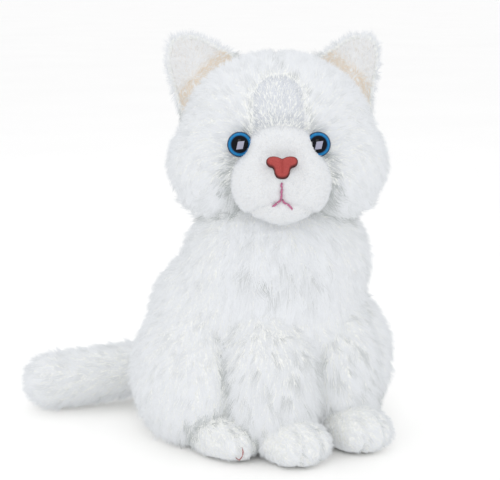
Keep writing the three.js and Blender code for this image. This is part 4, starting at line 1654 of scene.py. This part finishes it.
@dataclass
class Nose:
    """The flocked nose: two lobes above a tongue, with a groove down the middle."""

    place: Matrix
    centre: Triple = (1.5, -71.5, -17.4)
    tilt: float = 14.0
    bulge: float = 3.4
    scale: float = 0.96
    edge_colour: Triple = (0.07, 0.015, 0.016)
    half: tuple[tuple[float, float], ...] = (
        (0.0, 5.7), (2.6, 6.7), (5.4, 7.2), (8.2, 6.7), (9.9, 5.0), (10.0, 2.8), (8.4, 0.9), (6.2, 0.0),
        (5.3, -1.4), (4.9, -3.6), (3.7, -5.9), (1.9, -7.0),
    )

    def build(self) -> None:
        """Make the pad."""
        left = [(-x, z) for x, z in self.half[1:]][::-1]
        raw = np.array([*self.half, (0.0, -7.2), *left])
        outline = self._rounded(raw * self.scale)
        lean = Matrix.Translation(self.centre) @ Matrix.Rotation(math.radians(-self.tilt), 4, "X")

        def front(flat: Array, share: Array) -> Array:
            """Swell the front, with a groove and two nostril dips."""
            swell = self.bulge * np.sqrt(np.maximum(1 - share**2.6, 0.0))
            groove = 0.9 * np.exp(-((flat[:, 0] / 0.8) ** 2)) * (1 - share**4)
            dip = 0.7 * np.exp(-(((np.abs(flat[:, 0]) - 6.0) / 1.5) ** 2) - ((flat[:, 1] - 1.3) / 1.0) ** 2)
            return -(swell - groove - dip)

        def back(flat: Array, share: Array) -> Array:
            """Keep the back flat."""
            return np.full(len(flat), 2.4)

        pad = domed_pad("nose_pad", outline, np.array([0.0, 1.2]), front, back, self.place @ lean)
        flat = moved(points_of(pad), (self.place @ lean).inverted())[:, [0, 2]]
        away = np.linalg.norm(flat[:, None, :] - outline[None, :, :], axis=2).min(axis=1)
        mark = pad.data.attributes.new("from_edge", "FLOAT", "POINT")
        mark.data.foreach_set("value", away.astype(np.float32))
        pad.data.materials.append(self._material())
        settle(pad, "head", ["nose"])

    def _material(self) -> bpy.types.Material:
        """Make the flock's finish, darker along the pad's edge."""
        made = NOSE_FLOCK.material()
        nodes, links = made.node_tree.nodes, made.node_tree.links
        shader = nodes["Principled BSDF"]
        mark = nodes.new("ShaderNodeAttribute")
        mark.attribute_name = "from_edge"
        edge = nodes.new("ShaderNodeMapRange")
        edge.inputs["From Min"].default_value = 0.1
        edge.inputs["From Max"].default_value = 1.3
        links.new(mark.outputs["Fac"], edge.inputs["Value"])
        mix = nodes.new("ShaderNodeMix")
        mix.data_type = "RGBA"
        mix.inputs["A"].default_value = (*self.edge_colour, 1.0)
        links.new(edge.outputs["Result"], mix.inputs["Factor"])
        flock = next(link.from_socket for link in links if link.to_socket == shader.inputs["Base Color"])
        links.new(flock, mix.inputs["B"])
        links.new(mix.outputs["Result"], shader.inputs["Base Color"])
        return made

    def _rounded(self, raw: Array) -> Array:
        """Run a smooth closed curve through the outline's points."""
        rows = []
        count = len(raw)
        for k in range(count):
            a, b, c, d = (raw[(k + n - 1) % count] for n in range(4))
            for t in np.linspace(0.0, 1.0, 4, endpoint=False):
                square = (2 * a - 5 * b + 4 * c - d) * t**2
                cube = (3 * b - a - 3 * c + d) * t**3
                rows.append(0.5 * (2 * b + (c - a) * t + square + cube))
        return np.array(rows)


# --------------------------------------------------------------------------------------------
# Studio
# --------------------------------------------------------------------------------------------


@dataclass
class Studio:
    """The pale floor, the soft lights and the camera."""

    azimuth: float = -32.0
    elevation: float = 11.0
    distance: float = 0.95
    lens: float = 100.0
    target: Triple = (-6.4, 4.0, 130.0)
    floor_size: float = 60.0

    def build(self) -> None:
        """Set the stage."""
        self._floor()
        self._world()
        self._softbox("key_light", (-0.75, -1.0, 1.05), 0.5, 2.6)
        self._softbox("top_light", (0.0, 0.3, 1.5), 1.0, 1.2)
        self._camera()

    def _floor(self) -> None:
        """Lay the floor."""
        half = self.floor_size / 2 / MM
        points = np.array([[-half, -half, 0.0], [half, -half, 0.0], [half, half, 0.0], [-half, half, 0.0]])
        floor = mesh_object("floor", points, [(0, 1, 2, 3)])
        floor.data.materials.append(PALE_FLOOR.material())

    def _world(self) -> None:
        """Light the scene evenly from all round."""
        world = bpy.data.worlds.new("studio")
        world.use_nodes = True
        background = world.node_tree.nodes["Background"]
        background.inputs["Color"].default_value = (1.0, 1.0, 1.0, 1.0)
        background.inputs["Strength"].default_value = 1.0
        bpy.context.scene.world = world

    def _softbox(self, name: str, spot: Triple, size: float, power: float) -> None:
        """Hang one square light, aimed at the cat.

        Args:
            name: The light's name.
            spot: Its place in metres.
            size: Its side in metres.
            power: Its power in watts.
        """
        data = bpy.data.lights.new(name, "AREA")
        data.size = size
        data.energy = power
        lamp = bpy.data.objects.new(name, data)
        lamp.location = spot
        aim = Vector(self.target) * MM - Vector(spot)
        lamp.rotation_euler = aim.to_track_quat("-Z", "Y").to_euler()
        bpy.context.scene.collection.objects.link(lamp)

    def _camera(self) -> None:
        """Place the camera."""
        az, el = math.radians(self.azimuth), math.radians(self.elevation)
        out = Vector((math.sin(az) * math.cos(el), -math.cos(az) * math.cos(el), math.sin(el)))
        data = bpy.data.cameras.new("camera")
        data.lens = self.lens
        data.sensor_width = 36.0
        camera = bpy.data.objects.new("camera", data)
        camera.location = Vector(self.target) * MM + out * self.distance
        camera.rotation_euler = (-out).to_track_quat("-Z", "Y").to_euler()
        bpy.context.scene.collection.objects.link(camera)
        bpy.context.scene.camera = camera
        bpy.context.scene.view_settings.view_transform = "Standard"


# --------------------------------------------------------------------------------------------
# Assembly
# --------------------------------------------------------------------------------------------


def dress_solids() -> None:
    """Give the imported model's own solids that stay their procedural finishes."""
    finishes = {
        "pellet_bag": BAG_COTTON,
        "nose_post": MOULDED_WHITE,
        "nose_washer": MOULDED_WHITE,
        "tail_gusset": SHORN_PILE,
    }
    for side in SIDES:
        finishes[f"eye_iris_{side}"] = IRIS_METAL
        finishes[f"eye_post_{side}"] = MOULDED_WHITE
        finishes[f"eye_washer_{side}"] = MOULDED_WHITE
    for name, finish in finishes.items():
        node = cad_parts[name]
        for part in node.material_slots:
            part.material = finish.material()
        log.info("%s finished as %s", name, finish.name)


def main() -> None:
    """Build the cat and its studio."""
    logging.basicConfig(level=logging.INFO, format="%(name)s: %(message)s")
    head_place = HeadFrame().matrix()
    torso = Torso()
    hind_feet = [
        HindFoot("left", tuck=(-3.0, 12.0, 0.0)),
        HindFoot("right", Ball((58, -38, 14), (20, 30, 18), 3.0), Ball((55, -58, 12), (16, 16, 14))),
    ]
    forelegs = [
        Foreleg("left", (28, -37, 92), shoulder_radius=23.0, knee_radius=29.0),
        Foreleg(
            "right",
            shoulder=(25, -38, 92),
            knee=(28, -53, 60),
            hem=(27, -55, 36),
            shoulder_radius=24.0,
            knee_radius=33.0,
            hem_radius=31.0,
        ),
    ]
    tail = Tail()
    head = Head(head_place)
    collar = Ball((0, -20, 152), (34, 34, 26))
    neck = Skin("neck_skin", "neck", [collar], inset=2.0, seam=None, floor=None, swell=2.0)
    for part in [torso, *hind_feet, *forelegs, tail, head, neck]:
        part.build()
    neck.dress(SHORN_PILE, "short_pile", ["neck_sleeve", "neck_stuffing"])
    feet = [foot.skin for foot in hind_feet]
    legs = [leg.leg_skin for leg in forelegs]
    paws = [leg.paw_skin for leg in forelegs]
    torso.dress([*legs, *feet, tail.skin, head.skin])
    for foot in hind_feet:
        foot.dress([torso.skin, *legs, *paws])
    for leg in forelegs:
        leg.dress([torso.skin])
    tail.dress([torso.skin])
    head.dress([head.muzzle])
    Ear("left", head_place).build([head.skin])
    Ear("right", head_place, 7.0, ((20, 52), (50, 72), (66, 73), (72, 58), (65, 9))).build([head.skin])
    for side in SIDES:
        Eye(side, head_place).build()
    Nose(head_place).build()
    Mouth(head).build()
    for foot in hind_feet:
        ToeStitch(foot).build()
    dress_solids()
    Studio().build()


if __name__ == "__main__":
    main()
